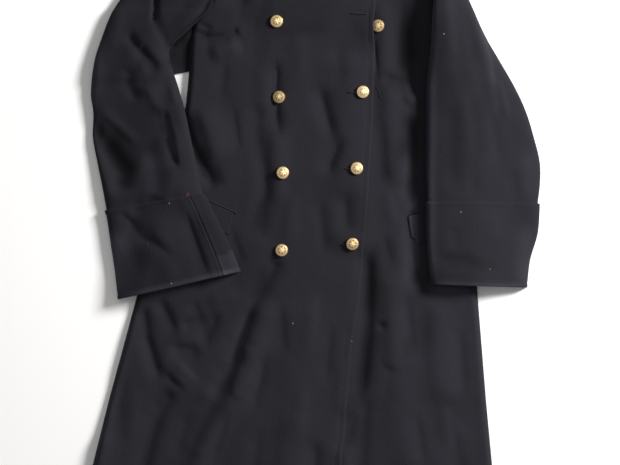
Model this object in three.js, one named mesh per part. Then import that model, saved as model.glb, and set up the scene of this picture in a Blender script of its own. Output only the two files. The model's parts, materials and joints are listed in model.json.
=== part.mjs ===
// Double-breasted military greatcoat, laid on its back with both sleeves beside and over the skirts.
// Millimetres: +X to the wearer's left sleeve, +Y to the collar, +Z up; the back rests on z = 0.
import * as THREE from "three";

// ---- driving sizes ----
const STEP = 1.78; // mm in one step of the plan grid used by every table below (x right, y down)
const CENTRE_X = 316.4; // plan grid line on x = 0
const CENTRE_Y = 188.0; // plan grid line on y = 0 before the coat is centred
const CLOTH = 3.0; // heavy overcoating and its lining, worked as one wall
const SEAM = 0.4; // clear gap left between neighbouring pieces
const BACK_INSET = 5.4; // the back stops this far inside the side folds
const YOKE_INSET = 9.0; // and this much farther at the shoulders, where the fronts come down to it
const YOKE_INSET_FROM = 20; // plan steps below the top row where that wider inset begins to narrow
const YOKE_INSET_OVER = 70; // and the steps over which it does
const REST = 8.0; // height at which the fronts float over the back where no fold lies
const LEAST_ROOM = 0.3; // the deepest folds still keep the fronts this far over the back
const ROLL = 9.0; // width of the side fold
const COLLAR_CLEAR = 1.0; // the collar lies this far over the yoke
const SLEEVE_CREST = 25.0; // height of a sleeve's top over what it lies on
const SLEEVE_LIFT = 18.0; // height of a sleeve's underside where it lies on the coat
const DRAPE = { right: 60, left: 100 }; // width over which each sleeve drops from the coat to the ground
const DRAPE_INSIDE = 12.0; // the part of that width that lies over the coat's own edge
const HEM_SHOW = 3.2; // the cuff passes the sleeve end by this much
const UNDER_CLEAR = 2.6; // an under sleeve stops this far inside the upper one
const UNDER_START = 3; // rows of the sleeve head that have no under layer
const CREST_SHARE = 0.62; // a narrow sleeve stands no higher than this share of its half width
const ROLL_POWER = 0.9; // how tightly a sleeve's upper layer rolls at its edges
const CROWN_POWER = 0.5; // how flat its crown is
const PRESSED = { from: 5, over: 3, power: 0.3 }; // the left sleeve's inner edge stands steeper at its head
const CUFF_EASE = 2.5; // stations above the cuff over which the sleeve narrows to fit inside it
const SKEW = { right: 5.0, left: 2.5 }; // the crown leans this much toward the inner edge
const BUTTON_RADIUS = 11.5;
const BUTTON_HEIGHT = 6.2;
const FLAP_THICK = 2.0;
const FLAP_REACH = 5.0; // a flap lies on the highest cloth within this distance

// Side edges of the body, the crossing front edge and the line of the centre front.
const SIDES = [
  { y: -100, left: 194, right: 453 },
  { y: -60, left: 203, right: 443 },
  { y: -30, left: 208, right: 438 },
  { y: 0, left: 211, right: 435 },
  { y: 23, left: 194, right: 436 },
  { y: 48, left: 190, right: 443 },
  { y: 73, left: 189, right: 453 },
  { y: 105, left: 186, right: 463 },
  { y: 200, left: 162, right: 471 },
  { y: 300, left: 136, right: 478 },
  { y: 400, left: 109, right: 486 },
  { y: 464, left: 93, right: 492 },
  { y: 534, left: 75, right: 498 },
];
const FRONT_EDGE = [
  { y: -100, x: 377 },
  { y: 0, x: 375.5 },
  { y: 60, x: 374 },
  { y: 120, x: 372 },
  { y: 180, x: 368 },
  { y: 225, x: 365 },
  { y: 300, x: 358 },
  { y: 345, x: 351 },
  { y: 405, x: 346 },
  { y: 465, x: 341 },
  { y: 534, x: 335 },
];
const CENTRE_FRONT = [
  { y: -100, x: 331 },
  { y: 0, x: 329 },
  { y: 250, x: 317 },
  { y: 465, x: 306 },
  { y: 534, x: 302 },
];
// Shoulder seams and neckline, across the coat: the fronts dip lower at the throat than the back.
const TOP_LINE = [
  { x: 190, front: -78, back: -78 },
  { x: 281, front: -111, back: -113 },
  { x: 294, front: -98, back: -119 },
  { x: 327, front: -87, back: -122 },
  { x: 360, front: -98, back: -119 },
  { x: 373, front: -111, back: -113 },
  { x: 460, front: -78, back: -78 },
];
const HEM_Y = 532; // hem of the skirts
const YOKE_Y = 10; // rows above this line are drawn up to the shoulders and neckline
const TOP_Y = -100;
const YOKE_FLAT = 2; // plan steps below the shoulder seam that lie flat on the back
const YOKE_FALL = 60; // plan steps over which the fronts then rise to their full height

// Folds of the body: soft troughs (negative) and ridges, from one end to the other.
const BODY_FOLDS = [
  { x0: 187, y0: 29, x1: 207, y1: 35, half: 7, height: -5.5 },
  { x0: 204, y0: 40, x1: 235, y1: 31, half: 7, height: -5.5 },
  { x0: 211, y0: 54, x1: 239, y1: 46, half: 9, height: 5.5 },
  { x0: 240, y0: -18, x1: 240, y1: 10, half: 11, height: -5.5 },
  { x0: 184, y0: 116, x1: 197, y1: 148, half: 8, height: -8 },
  { x0: 197, y0: 148, x1: 217, y1: 187, half: 9, height: -10 },
  { x0: 209, y0: 110, x1: 227, y1: 162, half: 13, height: 7 },
  { x0: 276, y0: 62, x1: 278, y1: 137, half: 6, height: -4 },
  { x0: 249, y0: 106, x1: 249, y1: 138, half: 9, height: -5.5 },
  { x0: 249, y0: 138, x1: 257, y1: 182, half: 9, height: -5.5 },
  { x0: 257, y0: 182, x1: 247, y1: 238, half: 9, height: -5.5 },
  { x0: 265, y0: 122, x1: 265, y1: 202, half: 9, height: 4 },
  { x0: 319, y0: 88, x1: 333, y1: 138, half: 9, height: -5.5 },
  { x0: 341, y0: 138, x1: 327, y1: 174, half: 9, height: -5.5 },
  { x0: 352, y0: 56, x1: 346, y1: 250, half: 22, height: 4.5 },
  { x0: 345, y0: 194, x1: 347, y1: 232, half: 7, height: -4 },
  { x0: 410, y0: -18, x1: 408, y1: 62, half: 15, height: -12 },
  { x0: 408, y0: 62, x1: 414, y1: 98, half: 9, height: -9.5 },
  { x0: 411, y0: 118, x1: 411, y1: 202, half: 8, height: -8 },
  { x0: 406, y0: 84, x1: 412, y1: 104, half: 7, height: 6 },
  { x0: 383, y0: 6, x1: 387, y1: 72, half: 12, height: 5.5 },
  { x0: 387, y0: 72, x1: 394, y1: 182, half: 13, height: 7 },
  { x0: 413, y0: 202, x1: 416, y1: 287, half: 8, height: -5.5 },
  { x0: 383, y0: 78, x1: 403, y1: 82, half: 7, height: -4 },
  { x0: 271, y0: 265, x1: 253, y1: 287, half: 9, height: -7 },
  { x0: 253, y0: 287, x1: 235, y1: 343, half: 10, height: -8 },
  { x0: 235, y0: 343, x1: 237, y1: 363, half: 10, height: -8 },
  { x0: 237, y0: 363, x1: 211, y1: 393, half: 10, height: -7 },
  { x0: 265, y0: 302, x1: 249, y1: 351, half: 12, height: 8 },
  { x0: 249, y0: 351, x1: 235, y1: 393, half: 11, height: 11 },
  { x0: 235, y0: 393, x1: 201, y1: 452, half: 12, height: 9.5 },
  { x0: 201, y0: 452, x1: 183, y1: 530, half: 14, height: 7 },
  { x0: 143, y0: 307, x1: 147, y1: 339, half: 8, height: -5.5 },
  { x0: 147, y0: 339, x1: 159, y1: 379, half: 8, height: -7 },
  { x0: 171, y0: 391, x1: 155, y1: 419, half: 9, height: -7 },
  { x0: 155, y0: 419, x1: 141, y1: 472, half: 10, height: -7 },
  { x0: 141, y0: 472, x1: 129, y1: 532, half: 11, height: -5.5 },
  { x0: 159, y0: 299, x1: 177, y1: 335, half: 8, height: -5.5 },
  { x0: 181, y0: 325, x1: 207, y1: 321, half: 8, height: -5.5 },
  { x0: 171, y0: 349, x1: 199, y1: 349, half: 8, height: -5.5 },
  { x0: 201, y0: 345, x1: 217, y1: 314, half: 8, height: -5.5 },
  { x0: 187, y0: 368, x1: 175, y1: 380, half: 12, height: 5.5 },
  { x0: 107, y0: 432, x1: 95, y1: 532, half: 12, height: 5.5 },
  { x0: 369, y0: 261, x1: 368, y1: 327, half: 8, height: -7 },
  { x0: 368, y0: 327, x1: 361, y1: 407, half: 9, height: -8 },
  { x0: 353, y0: 414, x1: 342, y1: 452, half: 9, height: -5.5 },
  { x0: 391, y0: 272, x1: 393, y1: 362, half: 13, height: 8 },
  { x0: 393, y0: 362, x1: 405, y1: 472, half: 15, height: 7 },
  { x0: 385, y0: 399, x1: 379, y1: 437, half: 9, height: -7 },
  { x0: 379, y0: 437, x1: 373, y1: 530, half: 9, height: -7 },
  { x0: 435, y0: 302, x1: 441, y1: 402, half: 14, height: 5.5 },
  { x0: 451, y0: 432, x1: 469, y1: 530, half: 10, height: -7 },
  { x0: 295, y0: 302, x1: 291, y1: 422, half: 20, height: 4 },
  { x0: 291, y0: 422, x1: 281, y1: 530, half: 18, height: 5.5 },
  { x0: 315, y0: 442, x1: 309, y1: 530, half: 10, height: -5.5 },
];

// Sleeve plans, from the shoulder to the cuff hem: outer edge and inner edge of each crossing line.
const RIGHT_ARM = [
  { ox: 193, oy: -79, ix: 201, iy: -77 },
  { ox: 166, oy: -60, ix: 203, iy: -56 },
  { ox: 145, oy: -38, ix: 213, iy: -28 },
  { ox: 130, oy: -14, ix: 214.5, iy: -2 },
  { ox: 112.5, oy: 12, ix: 205, iy: 15 },
  { ox: 102, oy: 38, ix: 172, iy: 46 },
  { ox: 94.5, oy: 62, ix: 171.5, iy: 64 },
  { ox: 91, oy: 92, ix: 179, iy: 89 },
  { ox: 93.5, oy: 114, ix: 185.5, iy: 112 },
  { ox: 93, oy: 137, ix: 190, iy: 134 },
  { ox: 97, oy: 161, ix: 195, iy: 156 },
  { ox: 101, oy: 186, ix: 200, iy: 176 },
  { ox: 105, oy: 211, ix: 205, iy: 194 },
  { ox: 107, oy: 218, ix: 209, iy: 201 },
  { ox: 111, oy: 245, ix: 222, iy: 228 },
  { ox: 115, oy: 272, ix: 233, iy: 252 },
  { ox: 118, oy: 299, ix: 241, iy: 271 },
];
const LEFT_ARM = [
  { ox: 452, oy: -79, ix: 445, iy: -77 },
  { ox: 463, oy: -62, ix: 440, iy: -58 },
  { ox: 467, oy: -38, ix: 435, iy: -34 },
  { ox: 466, oy: -10, ix: 434, iy: -8 },
  { ox: 475, oy: 14, ix: 432, iy: 14 },
  { ox: 486, oy: 38, ix: 431, iy: 38 },
  { ox: 500, oy: 62, ix: 429, iy: 62 },
  { ox: 515, oy: 88, ix: 426, iy: 88 },
  { ox: 526, oy: 112, ix: 426, iy: 112 },
  { ox: 534, oy: 138, ix: 426, iy: 138 },
  { ox: 540, oy: 163, ix: 425.5, iy: 163 },
  { ox: 541, oy: 185, ix: 425, iy: 183 },
  { ox: 539.5, oy: 204, ix: 425, iy: 202 },
  { ox: 539.5, oy: 211, ix: 425.5, iy: 210 },
  { ox: 537.5, oy: 234, ix: 426, iy: 234 },
  { ox: 530, oy: 260, ix: 428, iy: 259 },
  { ox: 527, oy: 287, ix: 431, iy: 284 },
];
const CUFF_ROW = 12; // station at which the cuff begins
const UNDERARM = { from: 4.5, to: 6, gap: 1 }; // stations where the right under sleeve runs out to the side
const HEAD = { from: 1, to: 8.5, rise: 15 }; // the left sleeve head stands this much higher between these
const ARM_ACROSS = [0, 0.035, 0.09, 0.17, 0.28, 0.4, 0.52, 0.64, 0.742, 0.752, 0.86, 0.93, 0.97, 1];
const SLIT_COLUMN = 8; // the right-hand cuff is slit between this column and the next
const UNDER_ACROSS = [0, 0.17, 0.34, 0.5, 0.66, 0.83, 1];

const RIGHT_ARM_FOLDS = [
  { x0: 128, y0: 34, x1: 142, y1: 53, half: 5, height: -6 },
  { x0: 142, y0: 53, x1: 158, y1: 71, half: 7, height: -9 },
  { x0: 130, y0: 70, x1: 128, y1: 84, half: 6, height: -7 },
  { x0: 128, y0: 84, x1: 136, y1: 101, half: 6, height: -6 },
  { x0: 155, y0: -20, x1: 153, y1: 20, half: 5, height: -8 },
  { x0: 153, y0: 20, x1: 166, y1: 48, half: 5, height: -5 },
  { x0: 97, y0: 118, x1: 112, y1: 138, half: 8, height: -8 },
  { x0: 112, y0: 138, x1: 134, y1: 164, half: 11, height: -12 },
  { x0: 134, y0: 164, x1: 137, y1: 186, half: 8, height: -9 },
  { x0: 160, y0: 110, x1: 168, y1: 141, half: 6, height: -5 },
  { x0: 168, y0: 141, x1: 175, y1: 167, half: 6, height: -6 },
  { x0: 121, y0: 216, x1: 140, y1: 231, half: 6, height: -6 },
  { x0: 140, y0: 231, x1: 172, y1: 257, half: 6, height: -7 },
  { x0: 183, y0: 214, x1: 206, y1: 276, half: 8, height: -5 },
  { x0: 158, y0: 216, x1: 172, y1: 284, half: 12, height: 4 },
];
const LEFT_ARM_FOLDS = [
  { x0: 446, y0: -6, x1: 451, y1: 60, half: 7, height: 2.5 },
  { x0: 464, y0: 10, x1: 472, y1: 70, half: 7, height: -2.5 },
  { x0: 474, y0: 6, x1: 479, y1: 30, half: 6, height: 3 },
  { x0: 479, y0: 30, x1: 488, y1: 60, half: 6, height: 3.5 },
  { x0: 488, y0: 60, x1: 491, y1: 90, half: 6, height: 3 },
  { x0: 497, y0: 78, x1: 507, y1: 118, half: 6, height: 2.5 },
  { x0: 484, y0: 90, x1: 498, y1: 160, half: 7, height: -2.5 },
  { x0: 448, y0: 110, x1: 452, y1: 190, half: 10, height: -2.5 },
  { x0: 436, y0: 258, x1: 478, y1: 262, half: 7, height: -3 },
];

// Buttons by row: the first of the wearer's left column is caught under the crossing edge.
const BUTTONS = [
  { name: "button_right_1", x: 276.9, y: 21.7, height: BUTTON_HEIGHT },
  { name: "button_right_2", x: 279.7, y: 97.2, height: BUTTON_HEIGHT },
  { name: "button_right_3", x: 282.7, y: 172.8, height: BUTTON_HEIGHT },
  { name: "button_right_4", x: 281.9, y: 250.0, height: BUTTON_HEIGHT },
  { name: "button_left_1", x: 378.4, y: 26.2, height: 5.0, sunk: true },
  { name: "button_left_2", x: 362.6, y: 92.2, height: BUTTON_HEIGHT },
  { name: "button_left_3", x: 356.6, y: 168.4, height: BUTTON_HEIGHT },
  { name: "button_left_4", x: 352.3, y: 243.5, height: BUTTON_HEIGHT },
];
// Corners of the two pocket flaps on the plan grid, along the top edge first.
const FLAP_LEFT = [[408.5, 216.5], [462, 202], [466, 231], [413, 245]];
const FLAP_RIGHT = [[184, 191], [233, 213], [227, 241], [178, 219]];
const CATCH = { x: 374, y: 26, half: 20, height: 9.5 }; // lift of the front edge over that button

// ---- small tools ----
const clamp01 = (value) => Math.min(1, Math.max(0, value));
const smooth = (value) => {
  const t = clamp01(value);
  return t * t * (3 - 2 * t);
};
const mix = (a, b, t) => a + (b - a) * t;
const planX = (gx) => (gx - CENTRE_X) * STEP;
const planY = (gy) => (CENTRE_Y - gy) * STEP;

// Value of one named column at a place along the table's own key column.
function along(table, key, column, place) {
  let row = 0;
  while (row < table.length - 2 && place > table[row + 1][key]) {
    row += 1;
  }
  const a = table[row];
  const b = table[row + 1];
  return mix(a[column], b[column], clamp01((place - a[key]) / (b[key] - a[key])));
}

// Smooth curve through the stations of an arm table.
function station(table, column, place) {
  const k = Math.min(table.length - 2, Math.floor(place));
  const t = place - k;
  const p = [-1, 0, 1, 2].map((o) => table[Math.min(table.length - 1, Math.max(0, k + o))][column]);
  const bend = 2 * p[0] - 5 * p[1] + 4 * p[2] - p[3];
  const twist = 3 * p[1] - p[0] - 3 * p[2] + p[3];
  return p[1] + 0.5 * t * (p[2] - p[0] + t * (bend + t * twist));
}

// Height added by a list of folds at one plan place: each is a soft bar that fades at its ends.
// Rows that follow one another end to start are one bent fold and don't add up at the bend.
function foldHeight(folds, gx, gy) {
  let sum = 0;
  let held = 0;
  let last = null;
  for (const fold of folds) {
    const dx = fold.x1 - fold.x0;
    const dy = fold.y1 - fold.y0;
    const t = clamp01(((gx - fold.x0) * dx + (gy - fold.y0) * dy) / (dx * dx + dy * dy));
    const away = Math.hypot(gx - fold.x0 - t * dx, gy - fold.y0 - t * dy) / fold.half;
    const value = fold.height * Math.exp(-away * away);
    const bent = last !== null && last.x1 === fold.x0 && last.y1 === fold.y0;
    if (!bent) {
      sum += held;
      held = value;
    } else if (Math.abs(value) > Math.abs(held)) {
      held = value;
    }
    last = fold;
  }
  return sum + held;
}

// Outward directions of a grid of points, turned so that most of them look up.
function gridNormals(grid) {
  const rows = grid.length;
  const cols = grid[0].length;
  let lift = 0;
  const normals = grid.map((line, j) => line.map((_, i) => {
    const across = grid[j][Math.min(cols - 1, i + 1)].clone().sub(grid[j][Math.max(0, i - 1)]);
    const down = grid[Math.min(rows - 1, j + 1)][i].clone().sub(grid[Math.max(0, j - 1)][i]);
    const normal = across.cross(down).normalize();
    lift += normal.z;
    return normal;
  }));
  if (lift < 0) {
    normals.forEach((line) => line.forEach((normal) => normal.negate()));
  }
  return normals;
}

const shifted = (grid, normals, distance) => grid.map((line, j) => line.map((point, i) => {
  const d = typeof distance === "function" ? distance(j, i) : distance;
  return point.clone().addScaledVector(normals[j][i], d);
}));

const raised = (grid, distance) => grid.map((line) => line.map((point) => {
  return new THREE.Vector3(point.x, point.y, point.z + distance);
}));

// Closed wall between two grids of points that run side by side.
function wall(top, under) {
  const rows = top.length;
  const cols = top[0].length;
  const points = [...top.flat(), ...under.flat()];
  const count = rows * cols;
  const faces = [];
  const at = (j, i, side) => side * count + j * cols + i;
  for (let j = 0; j < rows - 1; j += 1) {
    for (let i = 0; i < cols - 1; i += 1) {
      faces.push([at(j, i, 0), at(j, i + 1, 0), at(j + 1, i + 1, 0)]);
      faces.push([at(j, i, 0), at(j + 1, i + 1, 0), at(j + 1, i, 0)]);
      faces.push([at(j, i, 1), at(j + 1, i + 1, 1), at(j, i + 1, 1)]);
      faces.push([at(j, i, 1), at(j + 1, i, 1), at(j + 1, i + 1, 1)]);
    }
  }
  const edge = (a, b) => {
    faces.push([a, a + count, b + count]);
    faces.push([a, b + count, b]);
  };
  for (let i = 0; i < cols - 1; i += 1) {
    edge(at(0, i, 0), at(0, i + 1, 0));
    edge(at(rows - 1, i + 1, 0), at(rows - 1, i, 0));
  }
  for (let j = 0; j < rows - 1; j += 1) {
    edge(at(j + 1, 0, 0), at(j, 0, 0));
    edge(at(j, cols - 1, 0), at(j + 1, cols - 1, 0));
  }
  return closedGeometry(points, faces);
}

// Geometry from points and triangles, faces turned outward by the sign of the volume.
function closedGeometry(points, faces) {
  let volume = 0;
  for (const [a, b, c] of faces) {
    volume += points[a].dot(points[b].clone().cross(points[c]));
  }
  const index = faces.flatMap(([a, b, c]) => (volume < 0 ? [a, c, b] : [a, b, c]));
  const geometry = new THREE.BufferGeometry();
  const flat = points.flatMap((point) => [point.x, point.y, point.z]);
  geometry.setAttribute("position", new THREE.Float32BufferAttribute(flat, 3));
  geometry.setIndex(index);
  geometry.computeVertexNormals();
  return geometry;
}

const coat = new THREE.Group();
coat.name = "greatcoat";
const WOOL = { color: 0x2d2c31, roughness: 0.95, metalness: 0.0 };
const WOOL_PALE = { color: 0x3d3c42, roughness: 0.95, metalness: 0.0 };
const GILT = { color: 0xc0a276, roughness: 0.38, metalness: 0.85 };

function add(name, geometry, look) {
  const mesh = new THREE.Mesh(geometry, new THREE.MeshStandardMaterial(look));
  mesh.name = name;
  coat.add(mesh);
  return mesh;
}

// ---- body ----
const LENGTH_CELLS = 42;
const CELLS_LEFT = 9;
const CELLS_CROSS = 6;
const CELLS_RIGHT = 7;
const ROLL_ANGLES = [0, 28, 58, 90];

const frontEdge = (gy) => along(FRONT_EDGE, "y", "x", gy);
const underEdge = (gy) => 2 * along(CENTRE_FRONT, "y", "x", gy) - frontEdge(gy);
const sideLeft = (gy) => along(SIDES, "y", "left", gy);
const sideRight = (gy) => along(SIDES, "y", "right", gy);

// Height of the fronts' inner face over the ground at one plan place.
function bodyHeight(gx, gy) {
  const top = along(TOP_LINE, "x", "front", gx);
  const yoke = smooth((gy - top - YOKE_FLAT) / YOKE_FALL);
  const free = REST * yoke + foldHeight(BODY_FOLDS, gx, gy) * yoke;
  return CLOTH + SEAM + Math.max(LEAST_ROOM, free);
}

// Row of the body grid: plan rows are straight below the yoke and fan to the shoulders above it.
function bodyPoint(gx, gy, column, drop) {
  let y = gy;
  if (gy < YOKE_Y) {
    const top = along(TOP_LINE, "x", column, gx);
    y = YOKE_Y + (gy - YOKE_Y) * (YOKE_Y - top) / (YOKE_Y - TOP_Y);
  }
  return new THREE.Vector3(planX(gx), planY(y), column === "front" ? bodyHeight(gx, y) * drop : 0);
}

const bodyRows = Array.from({ length: LENGTH_CELLS + 1 }, (_, j) => mix(TOP_Y, HEM_Y, j / LENGTH_CELLS));
const rollReach = ROLL_ANGLES.map((angle) => {
  const turn = THREE.MathUtils.degToRad(angle);
  return { inset: (CLOTH + ROLL * (1 - Math.cos(turn))) / STEP, drop: Math.max(0.02, Math.sin(turn)) };
});
const bodyBase = bodyRows.map((gy) => {
  const left = sideLeft(gy);
  const right = sideRight(gy);
  const full = (CLOTH + ROLL) / STEP;
  const line = rollReach.slice(0, -1).map((r) => bodyPoint(left + r.inset, gy, "front", r.drop));
  const stops = [left + full, underEdge(gy), frontEdge(gy), right - full];
  [CELLS_LEFT, CELLS_CROSS, CELLS_RIGHT].forEach((cells, part) => {
    for (let i = 0; i < cells; i += 1) {
      line.push(bodyPoint(mix(stops[part], stops[part + 1], i / cells), gy, "front", 1));
    }
  });
  line.push(bodyPoint(stops[3], gy, "front", 1));
  const fall = rollReach.slice(0, -1).reverse();
  fall.forEach((r) => line.push(bodyPoint(right - r.inset, gy, "front", r.drop)));
  return line;
});
const bodyNormals = gridNormals(bodyBase);
const UNDER_COLUMN = ROLL_ANGLES.length - 1 + CELLS_LEFT;
const EDGE_COLUMN = UNDER_COLUMN + CELLS_CROSS;
const columns = (grid, from, to) => grid.map((line) => line.slice(from, to + 1));

// The crossing front steps up on to the other one and lifts over the caught button.
function crossingLift(j, i) {
  const step = smooth((i - UNDER_COLUMN + 3) / 2.2) * (CLOTH + SEAM);
  const gx = bodyBase[j][i].x / STEP + CENTRE_X;
  const gy = CENTRE_Y - bodyBase[j][i].y / STEP;
  const away = Math.hypot(gx - CATCH.x, gy - CATCH.y) / CATCH.half;
  return step + CATCH.height * Math.exp(-away * away);
}

function frontPanel(name, from, to, lift) {
  const grid = columns(bodyBase, from, to);
  const normals = columns(bodyNormals, from, to);
  const inner = shifted(grid, normals, (j, i) => lift(j, i + from));
  const outer = shifted(grid, normals, (j, i) => lift(j, i + from) + CLOTH);
  return add(name, wall(outer, inner), WOOL);
}
const frontUnder = frontPanel("front_left", UNDER_COLUMN, bodyBase[0].length - 1, () => 0);
const frontOver = frontPanel("front_right", 0, EDGE_COLUMN, crossingLift);

const BACK_CELLS = 4;
const backGrid = bodyRows.map((gy) => {
  const narrowed = smooth((gy - TOP_Y - YOKE_INSET_FROM) / YOKE_INSET_OVER);
  const inset = (BACK_INSET + YOKE_INSET * (1 - narrowed)) / STEP;
  const left = sideLeft(gy) + inset;
  const right = sideRight(gy) - inset;
  const cells = Array.from({ length: BACK_CELLS + 1 }, (_, i) => mix(left, right, i / BACK_CELLS));
  return cells.map((gx) => bodyPoint(gx, gy, "back", 0));
});
const back = add("back", wall(raised(backGrid, CLOTH), backGrid), WOOL);

// ---- sleeves ----
// Height of what a sleeve lies on: the coat inside its side edges, the ground well outside them.
function supportHeight(x, y) {
  const gy = CENTRE_Y - y / STEP;
  const gx = x / STEP + CENTRE_X;
  const right = (gx - sideLeft(gy)) * STEP;
  const left = (sideRight(gy) - gx) * STEP;
  const [inside, drape] = right < left ? [right, DRAPE.right] : [left, DRAPE.left];
  return SLEEVE_LIFT * smooth((inside + drape - DRAPE_INSIDE) / drape);
}

// Flattened tube over an arm plan: returns the grids of its upper and lower layers.
function armGrids({ plan, folds, skew, underarm, head, pressed }) {
  const last = plan.length - 1;
  const places = [];
  for (let k = 0; k < last; k += 1) {
    places.push(k, k + 0.5);
  }
  const hemSlope = Math.hypot(plan[last].ox - plan[last - 1].ox, plan[last].oy - plan[last - 1].oy);
  places.push(last - HEM_SHOW / STEP / hemSlope, last);
  const line = (place) => {
    const edges = ["ox", "oy", "ix", "iy"].map((column) => station(plan, column, place));
    const a = new THREE.Vector2(planX(edges[0]), planY(edges[1]));
    const b = new THREE.Vector2(planX(edges[2]), planY(edges[3]));
    return { a, b, half: a.distanceTo(b) / 2, cuffed: smooth((place - CUFF_ROW + CUFF_EASE) / CUFF_EASE) };
  };
  const layer = CLOTH + SEAM;
  const overUnderarm = (place) => {
    return underarm ? layer * smooth(3 + 4 * Math.min(place - underarm.from, underarm.to - place)) : 0;
  };
  const headRise = (place) => {
    const share = head ? clamp01((place - head.from) / (head.to - head.from)) : 0;
    return share > 0 ? head.rise * Math.sin(Math.PI * share) ** 2 : 0;
  };
  const top = places.map((place) => {
    const { a, b, half, cuffed } = line(place);
    const lift = layer * cuffed + overUnderarm(place) + SEAM;
    const crest = Math.min(SLEEVE_CREST, half * CREST_SHARE) + headRise(place) - 2 * layer * cuffed;
    return ARM_ACROSS.map((t) => {
      const turn = Math.PI * t;
      const side = -Math.sign(Math.cos(turn)) * Math.abs(Math.cos(turn)) ** ROLL_POWER;
      const reach = (half - layer * cuffed) / half * side;
      const x = mix(a.x, b.x, 0.5 + reach / 2);
      const y = mix(a.y, b.y, 0.5 + reach / 2);
      const bow = Math.sin(turn);
      const crease = foldHeight(folds, x / STEP + CENTRE_X, CENTRE_Y - y / STEP) * smooth(bow * 1.5);
      const lowest = Math.min(crest, 2 * layer) * bow ** 0.5;
      const lean = skew * Math.sin(Math.PI * (1 + reach));
      const steep = pressed && t > 0.5 ? 1 - smooth((place - pressed.from) / pressed.over) : 0;
      const flat = mix(CROWN_POWER, PRESSED.power, steep);
      const rise = Math.max(crest * bow ** flat - lean + crease, lowest);
      return new THREE.Vector3(x, y, supportHeight(x, y) + lift + rise);
    });
  });
  const under = (lift) => places.map((place) => {
    const { a, b, half, cuffed } = line(place);
    const reach = Math.max(0.2, 1 - (CLOTH + UNDER_CLEAR + layer * cuffed) / half);
    const row = UNDER_ACROSS.map((t) => {
      const x = mix(a.x, b.x, 0.5 + (t - 0.5) * reach);
      const y = mix(a.y, b.y, 0.5 + (t - 0.5) * reach);
      return new THREE.Vector3(x, y, supportHeight(x, y) + lift * cuffed);
    });
    if (underarm && place >= underarm.from && place <= underarm.to) {
      const end = row[row.length - 1];
      end.set(planX(sideLeft(CENTRE_Y - end.y / STEP) - underarm.gap), end.y, 0);
    }
    return row;
  });
  return { top, under: under(layer), cuffUnder: under(0) };
}

// The cuff's section runs down past the sleeve edge to what it lies on.
function withSkirts(grid) {
  return grid.map((line) => {
    const foot = (point) => new THREE.Vector3(point.x, point.y, supportHeight(point.x, point.y) + SEAM);
    return [foot(line[0]), ...line, foot(line[line.length - 1])];
  });
}

function sleeve(side, arm) {
  const { top, under, cuffUnder } = armGrids(arm);
  const normals = gridNormals(top);
  const ends = top.length - 1;
  add(`sleeve_top_${side}`, wall(top.slice(0, ends), shifted(top, normals, -CLOTH).slice(0, ends)), WOOL);
  const start = UNDER_START;
  add(`sleeve_under_${side}`, wall(raised(under, CLOTH).slice(start, ends), under.slice(start, ends)), WOOL);
  const first = CUFF_ROW * 2;
  const cuffIn = withSkirts(shifted(top, normals, SEAM)).slice(first);
  const cuffOut = withSkirts(shifted(top, normals, SEAM + CLOTH)).slice(first);
  const lastColumn = cuffIn[0].length - 1;
  const cut = SLIT_COLUMN + 1;
  const parts = arm.slit ? [[0, cut], [cut + 1, lastColumn]] : [[0, lastColumn]];
  parts.forEach(([from, to], n) => {
    const name = n === 0 ? `cuff_${side}` : `cuff_lap_${side}`;
    add(name, wall(columns(cuffOut, from, to), columns(cuffIn, from, to)), WOOL);
  });
  add(`cuff_under_${side}`, wall(raised(cuffUnder, CLOTH).slice(first), cuffUnder.slice(first)), WOOL);
}
const rightArm = { plan: RIGHT_ARM, folds: RIGHT_ARM_FOLDS, skew: SKEW.right };
const leftArm = { plan: LEFT_ARM, folds: LEFT_ARM_FOLDS, skew: SKEW.left };
sleeve("right", { ...rightArm, underarm: UNDERARM, slit: true });
sleeve("left", { ...leftArm, head: HEAD, pressed: PRESSED });

// ---- pieces laid on the cloth ----
const down = new THREE.Raycaster();
coat.updateMatrixWorld(true);
function heightOn(meshes, x, y, reach) {
  let height = 0;
  for (const [dx, dy] of [[0, 0], [reach, 0], [-reach, 0], [0, reach], [0, -reach]]) {
    down.set(new THREE.Vector3(x + dx, y + dy, 400), new THREE.Vector3(0, 0, -1));
    const hits = down.intersectObjects(meshes, false);
    if (hits.length > 0) {
      height = Math.max(height, hits[0].point.z);
    }
  }
  return height;
}

// Small four-sided piece laid on the cloth, between two plan edges.
function laidStrip(name, meshes, ends, cells, thick, look) {
  const [a, b, c, d] = ends.map(([gx, gy]) => new THREE.Vector2(planX(gx), planY(gy)));
  const grid = [];
  for (let j = 0; j <= cells[1]; j += 1) {
    const from = a.clone().lerp(d, j / cells[1]);
    const to = b.clone().lerp(c, j / cells[1]);
    const line = [];
    for (let i = 0; i <= cells[0]; i += 1) {
      const place = from.clone().lerp(to, i / cells[0]);
      line.push(new THREE.Vector3(place.x, place.y, heightOn(meshes, place.x, place.y, FLAP_REACH) + SEAM));
    }
    grid.push(line);
  }
  return add(name, wall(raised(grid, thick), grid), look);
}
laidStrip("pocket_flap_left", [frontUnder], FLAP_LEFT, [9, 4], FLAP_THICK, WOOL);
laidStrip("pocket_flap_right", [frontOver], FLAP_RIGHT, [9, 4], FLAP_THICK, WOOL);

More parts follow.
